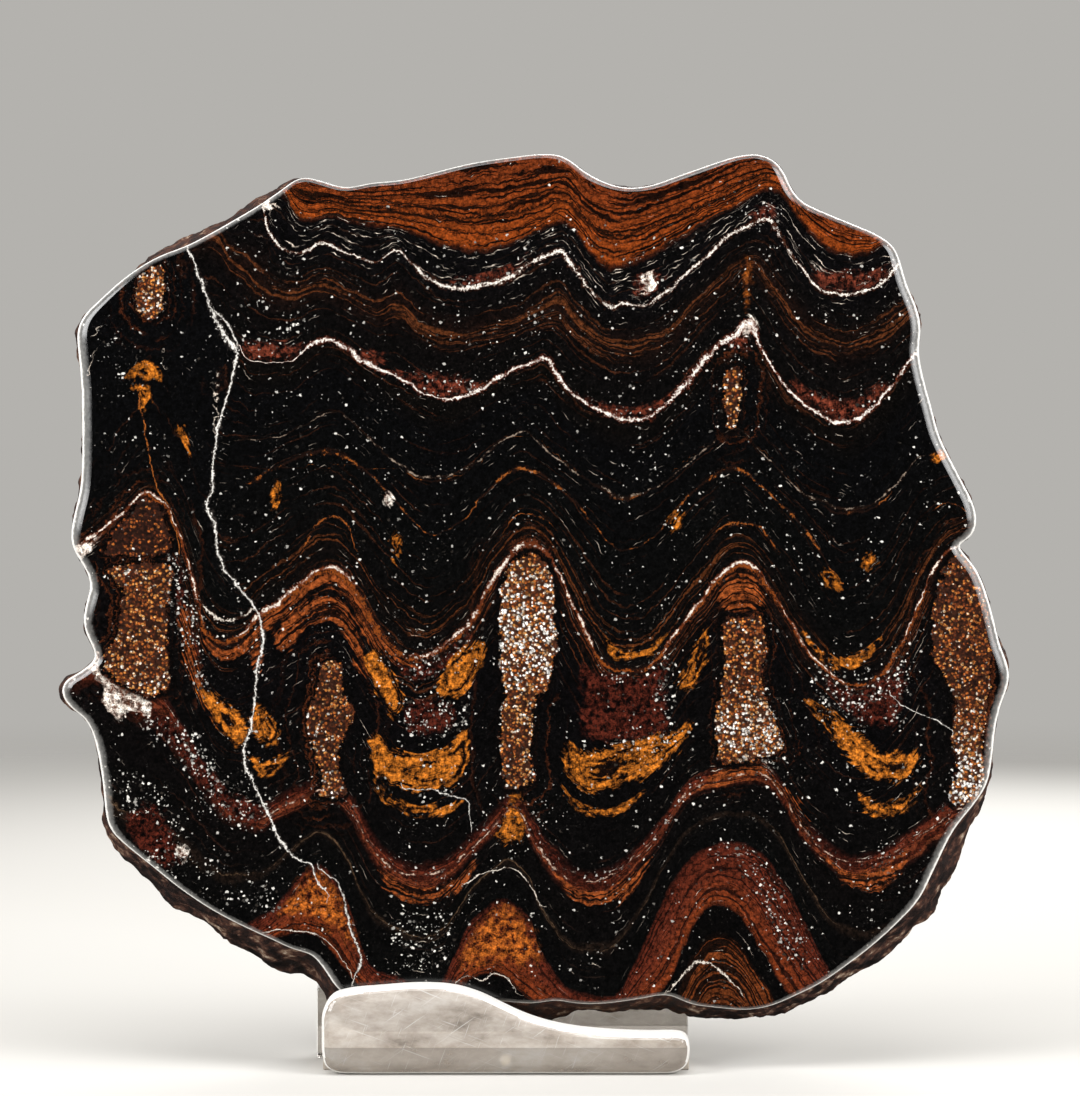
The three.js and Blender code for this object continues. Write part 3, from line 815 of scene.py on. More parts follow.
PATCHES = {
    "ochre": [
        [(368, 742), (378, 733), (388, 748), (405, 752), (440, 750), (455, 742), (466, 730),
         (469, 750), (464, 772), (450, 786), (425, 792), (398, 788), (378, 775), (370, 760)],
        [(372, 780), (395, 798), (425, 808), (460, 800), (442, 815), (410, 815), (385, 800)],
        [(567, 742), (580, 750), (610, 748), (640, 740), (670, 732), (688, 721), (691, 732),
         (680, 748), (660, 768), (630, 782), (600, 791), (578, 787), (566, 768)],
        [(560, 785), (575, 798), (600, 808), (625, 802), (642, 792), (625, 812), (600, 818),
         (578, 810)],
        [(806, 700), (820, 703), (840, 720), (860, 736), (880, 750), (905, 753), (918, 748),
         (916, 770), (900, 781), (878, 781), (855, 766), (840, 746), (822, 726)],
        [(858, 792), (880, 804), (900, 799), (922, 784), (906, 809), (880, 817), (864, 808)],
        [(196, 690), (215, 695), (240, 715), (247, 740), (235, 745), (215, 722)],
        [(254, 703), (268, 712), (281, 735), (270, 746), (252, 730)],
        [(248, 756), (265, 762), (288, 753), (283, 768), (262, 776)],
        [(437, 690), (445, 665), (460, 650), (478, 640), (485, 650), (478, 670), (465, 690),
         (450, 698)],
        [(365, 655), (378, 652), (392, 675), (402, 700), (395, 716), (382, 700), (370, 680)],
        [(677, 686), (690, 660), (697, 640), (706, 627), (709, 640), (703, 665), (694, 685)],
        [(600, 630), (615, 646), (640, 650), (666, 636), (656, 652), (635, 660), (612, 656)],
        [(802, 630), (820, 649), (845, 658), (870, 648), (880, 638), (867, 659), (845, 669),
         (822, 663)],
        [(396, 531), (405, 538), (399, 548), (395, 563), (391, 545)],
        [(929, 458), (942, 449), (947, 458), (937, 465)],
        [(124, 378), (138, 363), (152, 365), (161, 379), (148, 382), (135, 375)],
        [(132, 386), (150, 388), (148, 402), (143, 412), (137, 397)],
        [(496, 840), (502, 815), (510, 806), (522, 812), (525, 835), (510, 843)],
        [(175, 425), (181, 424), (190, 445), (191, 455), (183, 445)],
        [(270, 490), (278, 480), (282, 500), (275, 512)],
        [(860, 560), (872, 552), (876, 562), (866, 570)],
        [(820, 568), (838, 575), (842, 590), (828, 586)],
        [(668, 520), (678, 510), (682, 520), (672, 530)],
        [(503, 748), (514, 738), (525, 760), (523, 792), (512, 806), (505, 782)],
    ],
    "maroon": [
        [(578, 662), (600, 672), (640, 674), (668, 655), (666, 690), (668, 735), (640, 743),
         (605, 741), (580, 736), (582, 700)],
        [(404, 712), (415, 701), (440, 699), (459, 712), (455, 726), (435, 736), (411, 734)],
        [(820, 668), (850, 690), (880, 680), (899, 660), (906, 690), (896, 722), (870, 726),
         (850, 716), (830, 696)],
        [(123, 818), (145, 805), (165, 811), (179, 840), (181, 863), (160, 866), (135, 846)],
        [(146, 700), (168, 712), (190, 738), (210, 768), (235, 793), (263, 810), (259, 824),
         (235, 820), (205, 793), (180, 758), (152, 722)],
        [(385, 642), (410, 660), (440, 656), (472, 628), (464, 650), (440, 674), (415, 682),
         (395, 668)],
        [(176, 560), (184, 590), (196, 640), (206, 690), (196, 680), (184, 640), (174, 600)],
    ],
    "rust": [
        [(258, 618), (285, 601), (310, 581), (330, 572), (348, 579), (363, 602), (386, 642),
         (410, 660), (430, 660), (406, 667), (380, 653), (358, 620), (345, 596), (328, 588),
         (310, 594), (285, 614), (265, 630)],
        [(203, 640), (220, 648), (240, 644), (259, 628), (257, 648), (240, 657), (218, 657)],
        [(378, 868), (400, 882), (425, 888), (450, 880), (476, 860), (462, 886), (435, 903),
         (405, 901), (385, 887)],
        [(556, 872), (580, 889), (610, 889), (640, 866), (650, 860), (633, 890), (610, 906),
         (580, 906), (565, 893)],
        [(822, 855), (850, 871), (880, 869), (908, 853), (896, 880), (870, 891), (845, 885)],
        [(275, 642), (290, 611), (320, 596), (345, 604), (362, 640), (373, 677), (361, 674),
         (348, 642), (330, 620), (308, 624), (290, 650)],
        [(722, 606), (724, 583), (742, 573), (760, 584), (764, 606), (742, 611)],
        [(180, 608), (188, 615), (193, 650), (206, 690), (225, 715), (246, 735), (236, 742),
         (212, 720), (193, 690), (182, 650)],
        [(250, 640), (262, 650), (264, 665), (256, 672)],
        [(700, 790), (730, 762), (752, 758), (790, 792), (815, 838), (800, 832), (780, 795),
         (758, 778), (728, 783)],
    ],
    "amber": [
        [(741, 264), (748, 256), (754, 268), (750, 300), (746, 316), (742, 298)],
        [(456, 968), (474, 925), (497, 903), (517, 907), (532, 926), (545, 962), (524, 972),
         (500, 964), (478, 968)],
        [(275, 915), (300, 878), (320, 868), (338, 888), (352, 915), (362, 955), (338, 936),
         (310, 922), (290, 920)],
    ],
    "pink": [
        [(244, 342), (262, 339), (302, 344), (300, 354), (285, 361), (250, 360)],
        [(383, 370), (420, 373), (460, 375), (484, 382), (460, 395), (440, 401), (415, 391),
         (395, 380)],
        [(570, 386), (600, 402), (640, 405), (672, 391), (682, 386), (660, 408), (640, 418),
         (605, 413), (585, 403)],
        [(783, 378), (800, 384), (820, 391), (845, 400), (860, 394), (880, 384), (898, 372),
         (885, 395), (865, 412), (845, 423), (820, 414), (800, 400)],
        [(355, 350), (372, 350), (386, 360), (376, 366), (362, 360)],
        [(452, 276), (480, 274), (510, 262), (530, 254), (512, 276), (480, 286), (455, 285)],
        [(812, 272), (845, 270), (880, 268), (897, 262), (880, 284), (845, 293), (822, 288)],
        [(630, 280), (646, 270), (664, 272), (662, 286), (640, 298)],
        [(726, 340), (742, 330), (752, 342), (748, 352), (732, 352)],
        [(745, 215), (760, 206), (772, 204), (774, 218), (758, 222)],
    ],
    "cream": [
        [(62, 642), (85, 650), (104, 655), (118, 668), (138, 671), (146, 690), (152, 714), (133, 707),
         (118, 722), (108, 712), (99, 700), (104, 686), (90, 672), (72, 666), (60, 655)],
        [(60, 552), (85, 544), (101, 534), (91, 552), (75, 564)],
        [(638, 283), (646, 273), (657, 275), (655, 286), (645, 291)],
        [(382, 500), (384, 492), (391, 491), (395, 499), (388, 505)],
        [(739, 334), (740, 323), (750, 317), (757, 325), (752, 334)],
        [(757, 750), (765, 741), (773, 752), (766, 763)],
        [(262, 208), (258, 200), (268, 198), (272, 210)],
        [(178, 848), (186, 843), (192, 852), (184, 860)],
    ],
    "speckled": [
        [(110, 782), (135, 762), (165, 774), (172, 800), (150, 813), (113, 816)],
        [(200, 864), (240, 868), (292, 880), (286, 906), (240, 912), (203, 896)],
        [(575, 948), (600, 938), (622, 948), (606, 968), (582, 966)],
        [(95, 470), (100, 430), (118, 420), (122, 460), (108, 480)],
        [(388, 930), (410, 905), (450, 925), (440, 965), (405, 970)],
        [(262, 300), (300, 305), (330, 312), (310, 330), (270, 325)],
        [(580, 664), (602, 672), (612, 690), (598, 706), (600, 734), (586, 736), (584, 700)],
        [(640, 676), (668, 660), (668, 735), (652, 736), (656, 704)],
        [(404, 712), (414, 699), (440, 697), (460, 711), (454, 728), (430, 726), (416, 716)],
        [(822, 670), (850, 690), (880, 682), (898, 664), (893, 690), (858, 704)],
        [(745, 700), (775, 712), (792, 752), (806, 800), (790, 798), (772, 764), (748, 752)],
        [(390, 648), (412, 660), (440, 656), (466, 634), (452, 660), (420, 672)],
        [(690, 860), (731, 846), (760, 862), (800, 930), (820, 968), (790, 962), (762, 905),
         (730, 872)],
    ],
    "black": [
        [(89, 590), (105, 584), (121, 600), (119, 625), (105, 646), (92, 640), (87, 615)],
        [(80, 688), (100, 682), (104, 704), (92, 716), (78, 702)],
    ],
}

# %% Distances in from the outlines
def distance_in(outline):
    """Distance in millimetres from each point of the slice to an outline, positive inside it."""
    path = flowing(outline, closed=True)
    distance, half_width = distance_to(path)
    inside = inside_loops(np.column_stack([slice_u, slice_v]), [path])
    return np.where(inside, distance, -distance) / PIXELS_PER_MM


column_in = np.full(len(slice_points), -FAR / PIXELS_PER_MM)
paleness = np.zeros(len(slice_points))
for outline, pale in COLUMNS:
    inwards = distance_in(outline)
    rows, tones = zip(*pale)
    paleness = np.where(inwards > column_in, np.interp(slice_v, rows, tones), paleness)
    column_in = np.maximum(column_in, inwards)
store("column", column_in)
store("paleness", paleness)

patch_in = {}
for name, outlines in PATCHES.items():
    patch_in[name] = np.max([distance_in(o) for o in outlines], axis=0)
    if name != "speckled":
        store(name, patch_in[name])
print("columns:", len(COLUMNS), " patches:", {name: len(o) for name, o in PATCHES.items()})

# %% [markdown]
# White specks of quartz are scattered through the black chert, thicker along the layers' troughs,
# around the dark red stains and in a few patches. Their density is stored in the same way.
# So is where a point lies on the stone: on the bevel or on the sawn back.

# %% Specks, bevel and back
SPECK_BASE = 0.2
SPECK_RIM_MM = 2.0

specks = np.full(len(slice_points), SPECK_BASE)
specks += 0.3 * np.clip(patch_in["maroon"] / 2 + 0.6, 0, 1)
specks += 0.6 * np.exp(-(patch_in["maroon"] / SPECK_RIM_MM) ** 2)
specks += 0.55 * np.clip(patch_in["speckled"] / 2 + 0.6, 0, 1)
specks += 0.35 * np.clip(patch_in["pink"] / 2 + 0.6, 0, 1)
specks += 0.25 * np.exp(-((slice_layers - 54) / 2.5) ** 2)
specks *= np.where(slice_layers > 179, 0.25, 1.0)
store("specks", np.clip(specks, 0, 1))

depth_mm = (slice_points[:, 1] - face_y) * 1000
thickness_mm = (back_y - face_y) * 1000
on_back = np.zeros(len(slice_points))
on_back[len(side_points):] = depth_mm[len(side_points):] > thickness_mm - 0.01
store("bevel", np.clip(depth_mm / RIM_DEPTH_MM, 0, 1) * (1 - on_back))
store("sawn", on_back)
print("specks from", round(float(specks.min()), 2), "to", round(float(specks.max()), 2))

# %% [markdown]
# ## The stone's material
#
# The stone is black chert and iron oxide: dense, fine-grained, and able to take a glassy polish.
# Its pattern is one long recipe, laid down in the order in which the stone formed:
# layers first, then columns and stains, then the white quartz, and last what the saw and the weather did.
#
# The layers' height is first made to waver a little, as real laminae do, over 6 mm and over 1.4 mm.

# %% Chert and iron oxide: wavering layers
chert, tree, chert_bsdf = new_material("polished banded chert")
metres = add(tree, "ShaderNodeTexCoord", out="Object")
mm = add(tree, "ShaderNodeVectorMath", {0: metres, "Scale": 1000.0}, operation="SCALE")
across = add(tree, "ShaderNodeSeparateXYZ", {0: mm}, out="X")

wave = noise_of(tree, mm, 1 / 6, 2.0)
ripple = noise_of(tree, mm, 1 / 1.4, 2.0)
layers = stored(tree, "layers")
waver = calc(tree, "MULTIPLY_ADD", wave, 2.4, -1.2)
waver = calc(tree, "MULTIPLY_ADD", ripple, 1.1, waver)
height = calc(tree, "ADD", layers, waver)
height = calc(tree, "ADD", height, -0.55)
share = calc(tree, "MULTIPLY", height, 1 / 200)

# %% [markdown]
# Each height has two colours: the ground, and the thin streaks in it, with a number for how much they cover.
# Two colour ramps hold them, the second with the cover in its alpha.
# The streaks are noise that is stretched along the layers: some 24 mm long and less than 1 mm thick.

# %% Ground and streaks
LAYER_COLOURS = [  # height in mm, ground, streaks, cover
    (2, "#1a0b05", "#582a10", 0.5), (14, "#140804", "#642f11", 0.5), (15.2, "#050404", "#1c0e08", 0.1),
    (20.4, "#050404", "#1c0e08", 0.1), (21.6, "#6a2c10", "#2c1007", 0.42), (27, "#552212", "#280d07", 0.42),
    (32.4, "#4a1b0f", "#220b06", 0.45), (33.4, "#050505", "#1a120e", 0.1), (41, "#060505", "#1a120e", 0.12),
    (41.9, "#1e140e", "#54402e", 0.5), (42.8, "#060505", "#1a120e", 0.12), (50.5, "#070505", "#2c140c", 0.2),
    (51.6, "#3a150a", "#66301a", 0.45), (54.6, "#2c0e08", "#521f12", 0.45), (56, "#060505", "#20100a", 0.12),
    (84, "#050405", "#2a140a", 0.16), (92, "#070505", "#42200d", 0.3), (96.6, "#160a06", "#4e2410", 0.42),
    (98, "#060505", "#2c1509", 0.2), (101.4, "#0a0605", "#4c260f", 0.4), (103.5, "#060505", "#381c0c", 0.28),
    (110, "#050505", "#2c150a", 0.2), (138, "#040405", "#241109", 0.14), (143.5, "#070504", "#32180b", 0.26),
    (150, "#060505", "#22110a", 0.18), (156, "#070505", "#30170b", 0.26), (161, "#140906", "#4e2812", 0.44),
    (165, "#070505", "#2e170b", 0.25), (169.5, "#060506", "#26130b", 0.2), (177.2, "#060506", "#1e1510", 0.2),
    (178.2, "#7c360e", "#160703", 0.44), (194, "#5a250f", "#160703", 0.52),
]
STREAK_LENGTH_MM = 24.0
STREAK_THICKNESS_MM = 0.85

ground = add(tree, "ShaderNodeValToRGB", {0: share})
set_stops(ground, [(h / 200, linear(g)) for h, g, s, c in LAYER_COLOURS])
streak_colour = add(tree, "ShaderNodeValToRGB", {0: share})
set_stops(streak_colour, [(h / 200, linear(s, c)) for h, g, s, c in LAYER_COLOURS])
cover = streak_colour.node.outputs["Alpha"]

lengthways = calc(tree, "MULTIPLY", across, 1 / STREAK_LENGTH_MM)
upwards = calc(tree, "MULTIPLY", height, 1 / STREAK_THICKNESS_MM)
bedding = add(tree, "ShaderNodeCombineXYZ", {0: lengthways, 1: upwards})
streak = noise_of(tree, bedding, 1.0, 4.0, 0.62)
streak = fade(tree, streak, 0.3, 0.7)
streaky = calc(tree, "ADD", streak, cover)
streaky = fade(tree, streaky, 0.94, 1.08, smooth=True)
colour = blend(tree, streaky, ground, streak_colour)
print("layer colours:", len(LAYER_COLOURS))

# %% [markdown]
# Some heights also hold hair-thin pale laminae of quartz, less than half a millimetre thick and much broken.
# A third ramp says how many there are at each height.

# %% Hair-thin pale laminae
HAIRLINES = [  # height in mm, how much of it is hairlines
    (50, 0.1), (55, 0.4), (58, 0.1), (96, 0.15), (100, 0.25), (104, 0.1), (124, 0.15), (130, 0.25),
    (134, 0.1), (160, 0.1), (168, 0.3), (172, 0.62), (177, 0.6), (178.4, 0.0),
]
HAIR_LENGTH_MM = 5.0
HAIR_THICKNESS_MM = 0.38

amount = add(tree, "ShaderNodeValToRGB", {0: share})
set_stops(amount, [(h / 200, (a, a, a, 1)) for h, a in HAIRLINES])
lengthways = calc(tree, "MULTIPLY", across, 1 / HAIR_LENGTH_MM)
upwards = calc(tree, "MULTIPLY", height, 1 / HAIR_THICKNESS_MM)
bedding = add(tree, "ShaderNodeCombineXYZ", {0: lengthways, 1: upwards, 2: 7.0})
hair = noise_of(tree, bedding, 1.0, 2.0, 0.6)
hair = calc(tree, "MULTIPLY_ADD", amount, 0.16, hair)
hair = fade(tree, hair, 0.71, 0.8, smooth=True)
colour = blend(tree, hair, colour, "#c4b6a8")

# %% [markdown]
# Stains and lenses come next. A little noise is added to the stored distance before the edge is cut,
# so every edge frays by half a millimetre or so. Inside, two tones are mixed by bands or blotches:
# in the ochre they follow the lens's own outline, because it filled its trough from the bottom up.

# %% Stains and lenses
STAINS = {  # name: dark tone, light tone, what its bands follow, the edge's feather in mm
    "maroon": ("#0a0303", "#461a10", None, 1.6),
    "amber": ("#42180a", "#a4561a", None, 3.0),
    "rust": ("#1a0a05", "#84401a", "layers", 0.9),
    "pink": ("#140705", "#6a3020", None, 2.2),
    "ochre": ("#120704", "#b4661c", "outline", 0.8),
    "cream": ("#6a4434", "#f2e8dc", None, 0.7),
    "black": ("#040304", "#0a0707", None, 0.7),
}
EDGE_FRAY_MM = 2.2
BEDDING_FRAY_MM = 1.6  # how far the stone's layers reach into a lens, as dark streaks
BLOTCH_MM = 1.4
BAND_MM = 1.1

frayed = calc(tree, "MULTIPLY_ADD", ripple, EDGE_FRAY_MM, -EDGE_FRAY_MM / 2)
flecks = noise_of(tree, mm, 1 / 0.8, 3.0, 0.65)
blotches = noise_of(tree, mm, 1 / BLOTCH_MM, 3.0, 0.65)
reach_in = calc(tree, "MULTIPLY_ADD", streak, BEDDING_FRAY_MM, frayed)
reach_in = calc(tree, "ADD", reach_in, -BEDDING_FRAY_MM / 2)
squeezed = calc(tree, "MULTIPLY", across, 0.12)
for name, (dark, light, bands, feather) in STAINS.items():
    inwards = stored(tree, name)
    edge = calc(tree, "ADD", inwards, reach_in)
    mask = fade(tree, edge, -0.2, feather - 0.2, smooth=True)
    tones = blotches
    if bands == "layers":
        tones = streak
    if bands == "outline":
        inward = calc(tree, "MULTIPLY_ADD", waver, 0.7, inwards)
        inward = calc(tree, "MULTIPLY", inward, 1 / BAND_MM)
        where = add(tree, "ShaderNodeCombineXYZ", {0: squeezed, 1: inward})
        tones = noise_of(tree, where, 1.0, 2.0, 0.6)
    tones = calc(tree, "MULTIPLY_ADD", flecks, 0.4 if bands else 0.7, tones)
    tones = fade(tree, tones, 0.6 if bands else 0.7, 0.8 if bands else 0.98)
    tone = blend(tree, tones, dark, light)
    colour = blend(tree, mask, colour, tone)
print("stains:", ", ".join(STAINS))

# %% [markdown]
# The columns are packed with uneven grains some 0.6 mm across, drawn as the cells of a Voronoi pattern.
# Each cell takes its own tone, from brown through tan to white, around the column's paleness at that height.
# A sheath of black chert 1.5 mm thick surrounds each column, and brown coats a millimetre apart follow it.

# %% Columns
GRAIN_MM = 0.6
SHEATH_MM = 1.5
COAT_MM = 0.9
COATS_REACH_MM = 8.0

column = stored(tree, "column")
pale = stored(tree, "paleness")
column_edge = calc(tree, "MULTIPLY_ADD", frayed, 0.8, column)
column_edge = calc(tree, "MULTIPLY_ADD", flecks, 2.4, column_edge)
column_edge = calc(tree, "ADD", column_edge, -1.2)
sheath = fade(tree, column_edge, -SHEATH_MM, -SHEATH_MM + 0.8, smooth=True)
colour = blend(tree, sheath, colour, "#060404")
outwards = calc(tree, "MULTIPLY", column_edge, 1 / COAT_MM)
where = add(tree, "ShaderNodeCombineXYZ", {0: squeezed, 1: outwards, 2: 3.0})
coats = noise_of(tree, where, 1.0, 2.0, 0.6)
coats = fade(tree, coats, 0.57, 0.66)
near = fade(tree, column, -COATS_REACH_MM, -SHEATH_MM, 0.0, 0.8)
coats = calc(tree, "MULTIPLY", coats, near)
colour = blend(tree, coats, colour, "#4a220e")

bent = add(tree, "ShaderNodeCombineXYZ", {0: flecks, 1: ripple})
bent = add(tree, "ShaderNodeVectorMath", {0: mm, 1: bent}, operation="ADD")
grains = add(tree, "ShaderNodeTexVoronoi", {"Vector": bent, "Scale": 1 / GRAIN_MM}).node
own = add(tree, "ShaderNodeSeparateColor", {0: grains.outputs["Color"]}, out="Red")
tone = calc(tree, "MULTIPLY_ADD", own, 0.9, pale)
tone = calc(tree, "MULTIPLY_ADD", blotches, 1.5, tone)
tone = calc(tree, "ADD", tone, -1.26, clamp=True)
grain_colour = add(tree, "ShaderNodeValToRGB", {0: tone})
set_stops(grain_colour, [(0.0, linear("#2c1006")), (0.25, linear("#6c3010")), (0.5, linear("#a8581c")),
                         (0.72, linear("#c2853e")), (0.88, linear("#e0d2c0")), (1.0, linear("#fbf8f4"))])
between = blend(tree, pale, "#1e0b05", "#40200f")
roundness = calc(tree, "MULTIPLY_ADD", flecks, 0.9, grains.outputs["Distance"])
grain = fade(tree, roundness, 1.1, 0.8, smooth=True)
fill = blend(tree, grain, between, grain_colour)
in_column = fade(tree, column_edge, -0.1, 0.3, smooth=True)
colour = blend(tree, in_column, colour, fill)
print("grains:", GRAIN_MM, "mm")

# %% [markdown]
# Nothing in the stone is an even colour: every layer is made of grains a fraction of a millimetre across.
# The colour so far is therefore multiplied by fine noise.

# %% Grain
fine = noise_of(tree, mm, 1 / 0.5, 3.0, 0.75)
grainy = fade(tree, flecks, 0.36, 0.66, 0.3, 1.55)
gritty = fade(tree, fine, 0.34, 0.66, 0.35, 1.65)
grainy = calc(tree, "MULTIPLY", grainy, gritty)
colour = add(tree, "ShaderNodeVectorMath", {0: colour, "Scale": grainy}, operation="SCALE")

# %% [markdown]
# White specks are small dots at the middle of some Voronoi cells: a cell has one if its own random number
# is below the local density. They gather in clusters a centimetre or so across, among a finer dust of quartz.

# %% Specks
SPECK_SPACING_MM = 0.7

cells = add(tree, "ShaderNodeTexVoronoi", {"Vector": bent, "Scale": 1 / SPECK_SPACING_MM}).node
chance = add(tree, "ShaderNodeSeparateColor", {0: cells.outputs["Color"]}).node
density = stored(tree, "specks")
cluster = noise_of(tree, mm, 1 / 9, 2.0)
cluster = fade(tree, cluster, 0.36, 0.68, 0.0, 1.8)
wanted = calc(tree, "MULTIPLY", density, cluster)
chosen = calc(tree, "LESS_THAN", chance.outputs["Red"], wanted)
radius = calc(tree, "POWER", chance.outputs["Green"], 2.5)
radius = calc(tree, "MULTIPLY_ADD", radius, 0.34, 0.11)
radius = calc(tree, "MULTIPLY_ADD", density, 0.14, radius)
dot = calc(tree, "SUBTRACT", radius, cells.outputs["Distance"])
dot = calc(tree, "MULTIPLY_ADD", fine, 1.6, dot)
dot = fade(tree, dot, 0.8, 0.92)
speck = calc(tree, "MULTIPLY", dot, chosen)
dust = fade(tree, fine, 0.64, 0.76, 0.0, 0.4)
dust = calc(tree, "MULTIPLY", dust, cluster, clamp=True)
colour = blend(tree, dust, colour, "#7a726c")
bright = fade(tree, chance.outputs["Blue"], 0.3, 1.0)
speck_colour = blend(tree, bright, "#2c2824", "#efebe4")
colour = blend(tree, speck, colour, speck_colour)

# %% [markdown]
# The thin quartz lines are cut where the stored distance is within one half-width of zero.
# A rust halo of over twice that width lies under each, and noise makes the line swell, thin out and break.
# The quartz itself is sugary: a string of small grains rather than a drawn line.

# %% Quartz lines
QUARTZ = {  # name: colour, halo, how much of the line is missing
    "band_black": ("#0a0503", "#2a1206", 0.2),
    "main_rust": ("#7e3e14", "#2e130a", 0.4),
    "broken_orange": ("#8e4e1e", "#20100a", 0.51),
    "arc_orange": ("#8a4a1c", "#20100a", 0.44),
    "left_orange": ("#9c5822", "#20100a", 0.42),
    "faint": ("#8c7c6e", "#1c100a", 0.5),
    "lower_white": ("#c0a694", "#3a160c", 0.5),
    "core_white": ("#d8cec2", "#2a140a", 0.38),
    "main_white": ("#e8dccf", "#6a3016", 0.46),
    "middle_white": ("#f2ebe2", "#6a2e1a", 0.38),
    "upper_white": ("#ece4da", "#4a2616", 0.4),
    "crack_strand": ("#d8d4ce", "#3a3430", 0.36),
    "crack": ("#e8e4de", "#4a4440", 0.22),
}

jag = calc(tree, "MULTIPLY_ADD", fine, 9.0, -4.5)
missing = noise_of(tree, mm, 1 / 2.2, 4.0, 0.7)
swell = fade(tree, missing, 0.35, 0.65, 2.1, 0.65)
sugary = fade(tree, flecks, 0.36, 0.5, 0.3)
for name, (line_hex, halo_hex, gaps) in QUARTZ.items():
    away = stored(tree, name)
    away = calc(tree, "ADD", away, jag)
    away = calc(tree, "ABSOLUTE", away)
    away = calc(tree, "MULTIPLY", away, swell)
    whole = fade(tree, missing, gaps, gaps + 0.08)
    core = fade(tree, away, 1.4, 0.6, smooth=True)
    core = calc(tree, "MULTIPLY", core, whole)
    core = calc(tree, "MULTIPLY", core, sugary)
    halo = fade(tree, away, 3.4, 1.0, 0.0, 0.6, smooth=True)
    colour = blend(tree, halo, colour, halo_hex)
    colour = blend(tree, core, colour, line_hex)
print("quartz lines:", ", ".join(QUARTZ))

# %% [markdown]
# The bevel was ground but never polished, and it is painted paler: grey at the face, almost white at its outer
# edge. That band is partly the ground stone's own paler tone and partly a painted highlight that stands for the
# lamps the bevel reflects.
# The back keeps its saw marks under a film of dust.
# Roughness follows the same places: glassy on the face, satin on the grains, dull on bevel and back.

# %% Bevel, back and polish
GLASSY = 0.16

bevel = stored(tree, "bevel")
sawn = stored(tree, "sawn")
# Painted highlight: the grey-to-white band on the bevel is partly the lamps' reflection painted into the colour,
# and partly the ground stone's paler tone.
bevel_highlight_place = calc(tree, "MULTIPLY_ADD", flecks, 0.5, bevel)
bevel_paleness_and_highlight = add(tree, "ShaderNodeValToRGB", {0: bevel_highlight_place})
set_stops(bevel_paleness_and_highlight, [(0.25, (0.0, 0.0, 0.0, 1)), (0.4, (0.08, 0.08, 0.08, 1)), (0.8, (0.25, 0.25, 0.25, 1)),
                      (1.0, (1.0, 1.0, 1.0, 1))])
off_face = fade(tree, bevel, 0.0, 0.12)
bevel_paleness_and_highlight = calc(tree, "MULTIPLY", bevel_paleness_and_highlight, off_face)
colour = blend(tree, bevel_paleness_and_highlight, colour, "#eae8e4")
film = calc(tree, "MULTIPLY", sawn, 0.3)
colour = blend(tree, film, colour, "#8a8078")
tree.links.new(colour, chert_bsdf.inputs["Base Color"])

rough = fade(tree, in_column, 0.0, 1.0, GLASSY, 0.3)
dull = calc(tree, "MULTIPLY", bevel, 0.3)
dull = calc(tree, "MULTIPLY_ADD", sawn, 0.42, dull)
rough = calc(tree, "ADD", rough, dull, clamp=True)
tree.links.new(rough, chert_bsdf.inputs["Roughness"])
chert_bsdf.inputs["IOR"].default_value = 1.54
saw = add(tree, "ShaderNodeTexWave", {"Vector": mm, "Scale": 0.35, "Distortion": 0.6, "Detail": 1.0},
          bands_direction="DIAGONAL")
saw = calc(tree, "MULTIPLY", saw, sawn)
bump = add(tree, "ShaderNodeBump", {"Height": saw, "Strength": 0.6, "Distance": 0.00004})
tree.links.new(bump, chert_bsdf.inputs["Normal"])
print("stone material:", len(tree.nodes), "nodes")

# %% [markdown]
# The rind has a material of its own, because weather has changed it: almost black, stained with rust,
# and crusted with pale lime in places. Its bump is only for grit too fine for the mesh.

# %% Rind material
rind, tree, rind_bsdf = new_material("weathered rind of the stone")
metres = add(tree, "ShaderNodeTexCoord", out="Object")
mm = add(tree, "ShaderNodeVectorMath", {0: metres, "Scale": 1000.0}, operation="SCALE")
crust = noise_of(tree, mm, 1 / 3.2, 5.0, 0.65)
layers = stored(tree, "layers")
banding = {"W": layers, "Scale": 1 / 2.5, "Detail": 2.0}
banding = add(tree, "ShaderNodeTexNoise", banding, noise_dimensions="1D")
crust = calc(tree, "MULTIPLY_ADD", banding, 0.3, crust)
rind_colour = add(tree, "ShaderNodeValToRGB", {0: crust})
set_stops(rind_colour, [(0.45, linear("#0e0706")), (0.62, linear("#2a130b")), (0.72, linear("#4e2816")),
                        (0.8, linear("#7e6450")), (0.9, linear("#c4b4a2"))])
tree.links.new(rind_colour, rind_bsdf.inputs["Base Color"])
weathered = fade(tree, crust, 0.4, 0.9, 0.6, 0.95)
tree.links.new(weathered, rind_bsdf.inputs["Roughness"])
grit = noise_of(tree, mm, 1 / 0.7, 4.0, 0.7)
bump = add(tree, "ShaderNodeBump", {"Height": grit, "Strength": 0.6, "Distance": 0.0006})
tree.links.new(bump, rind_bsdf.inputs["Normal"])

slice_data.materials.append(chert)
slice_data.materials.append(rind)
for polygon in slice_data.polygons:
    if polygon.index < len(side_faces) and polygon.center.y > rim_y:
        polygon.material_index = 1
print("rind faces:", sum(p.material_index for p in slice_data.polygons))

# %% [markdown]
# ## The stand
#
# The stand is cast acrylic: two plates with a low bar between them, so that a slot is left for the stone.
# The front plate's outer edges were ground to a wide bevel and left frosted.
# Its sides are subdivided like the stone's, which turns the solid's facets into a flowing bevel.

# %% Front plate
def make_piece(name, points, faces, node, slot, material):
    """A smooth mesh that stands for a solid, riding with it."""
    mesh = bpy.data.meshes.new(name)
    mesh.from_pydata(np.asarray(points).tolist(), [], faces)
    mesh.validate()
    mesh.shade_smooth()
    mesh.set_sharp_from_angle(angle=math.radians(35))
    mesh.materials.append(material)
    piece = bpy.data.objects.new(name, mesh)
    bpy.context.scene.collection.objects.link(piece)
    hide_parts(node)
    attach(piece, "root")
    print(name + ":", sum(len(p.vertices) - 2 for p in mesh.polygons), "triangles")
    return piece


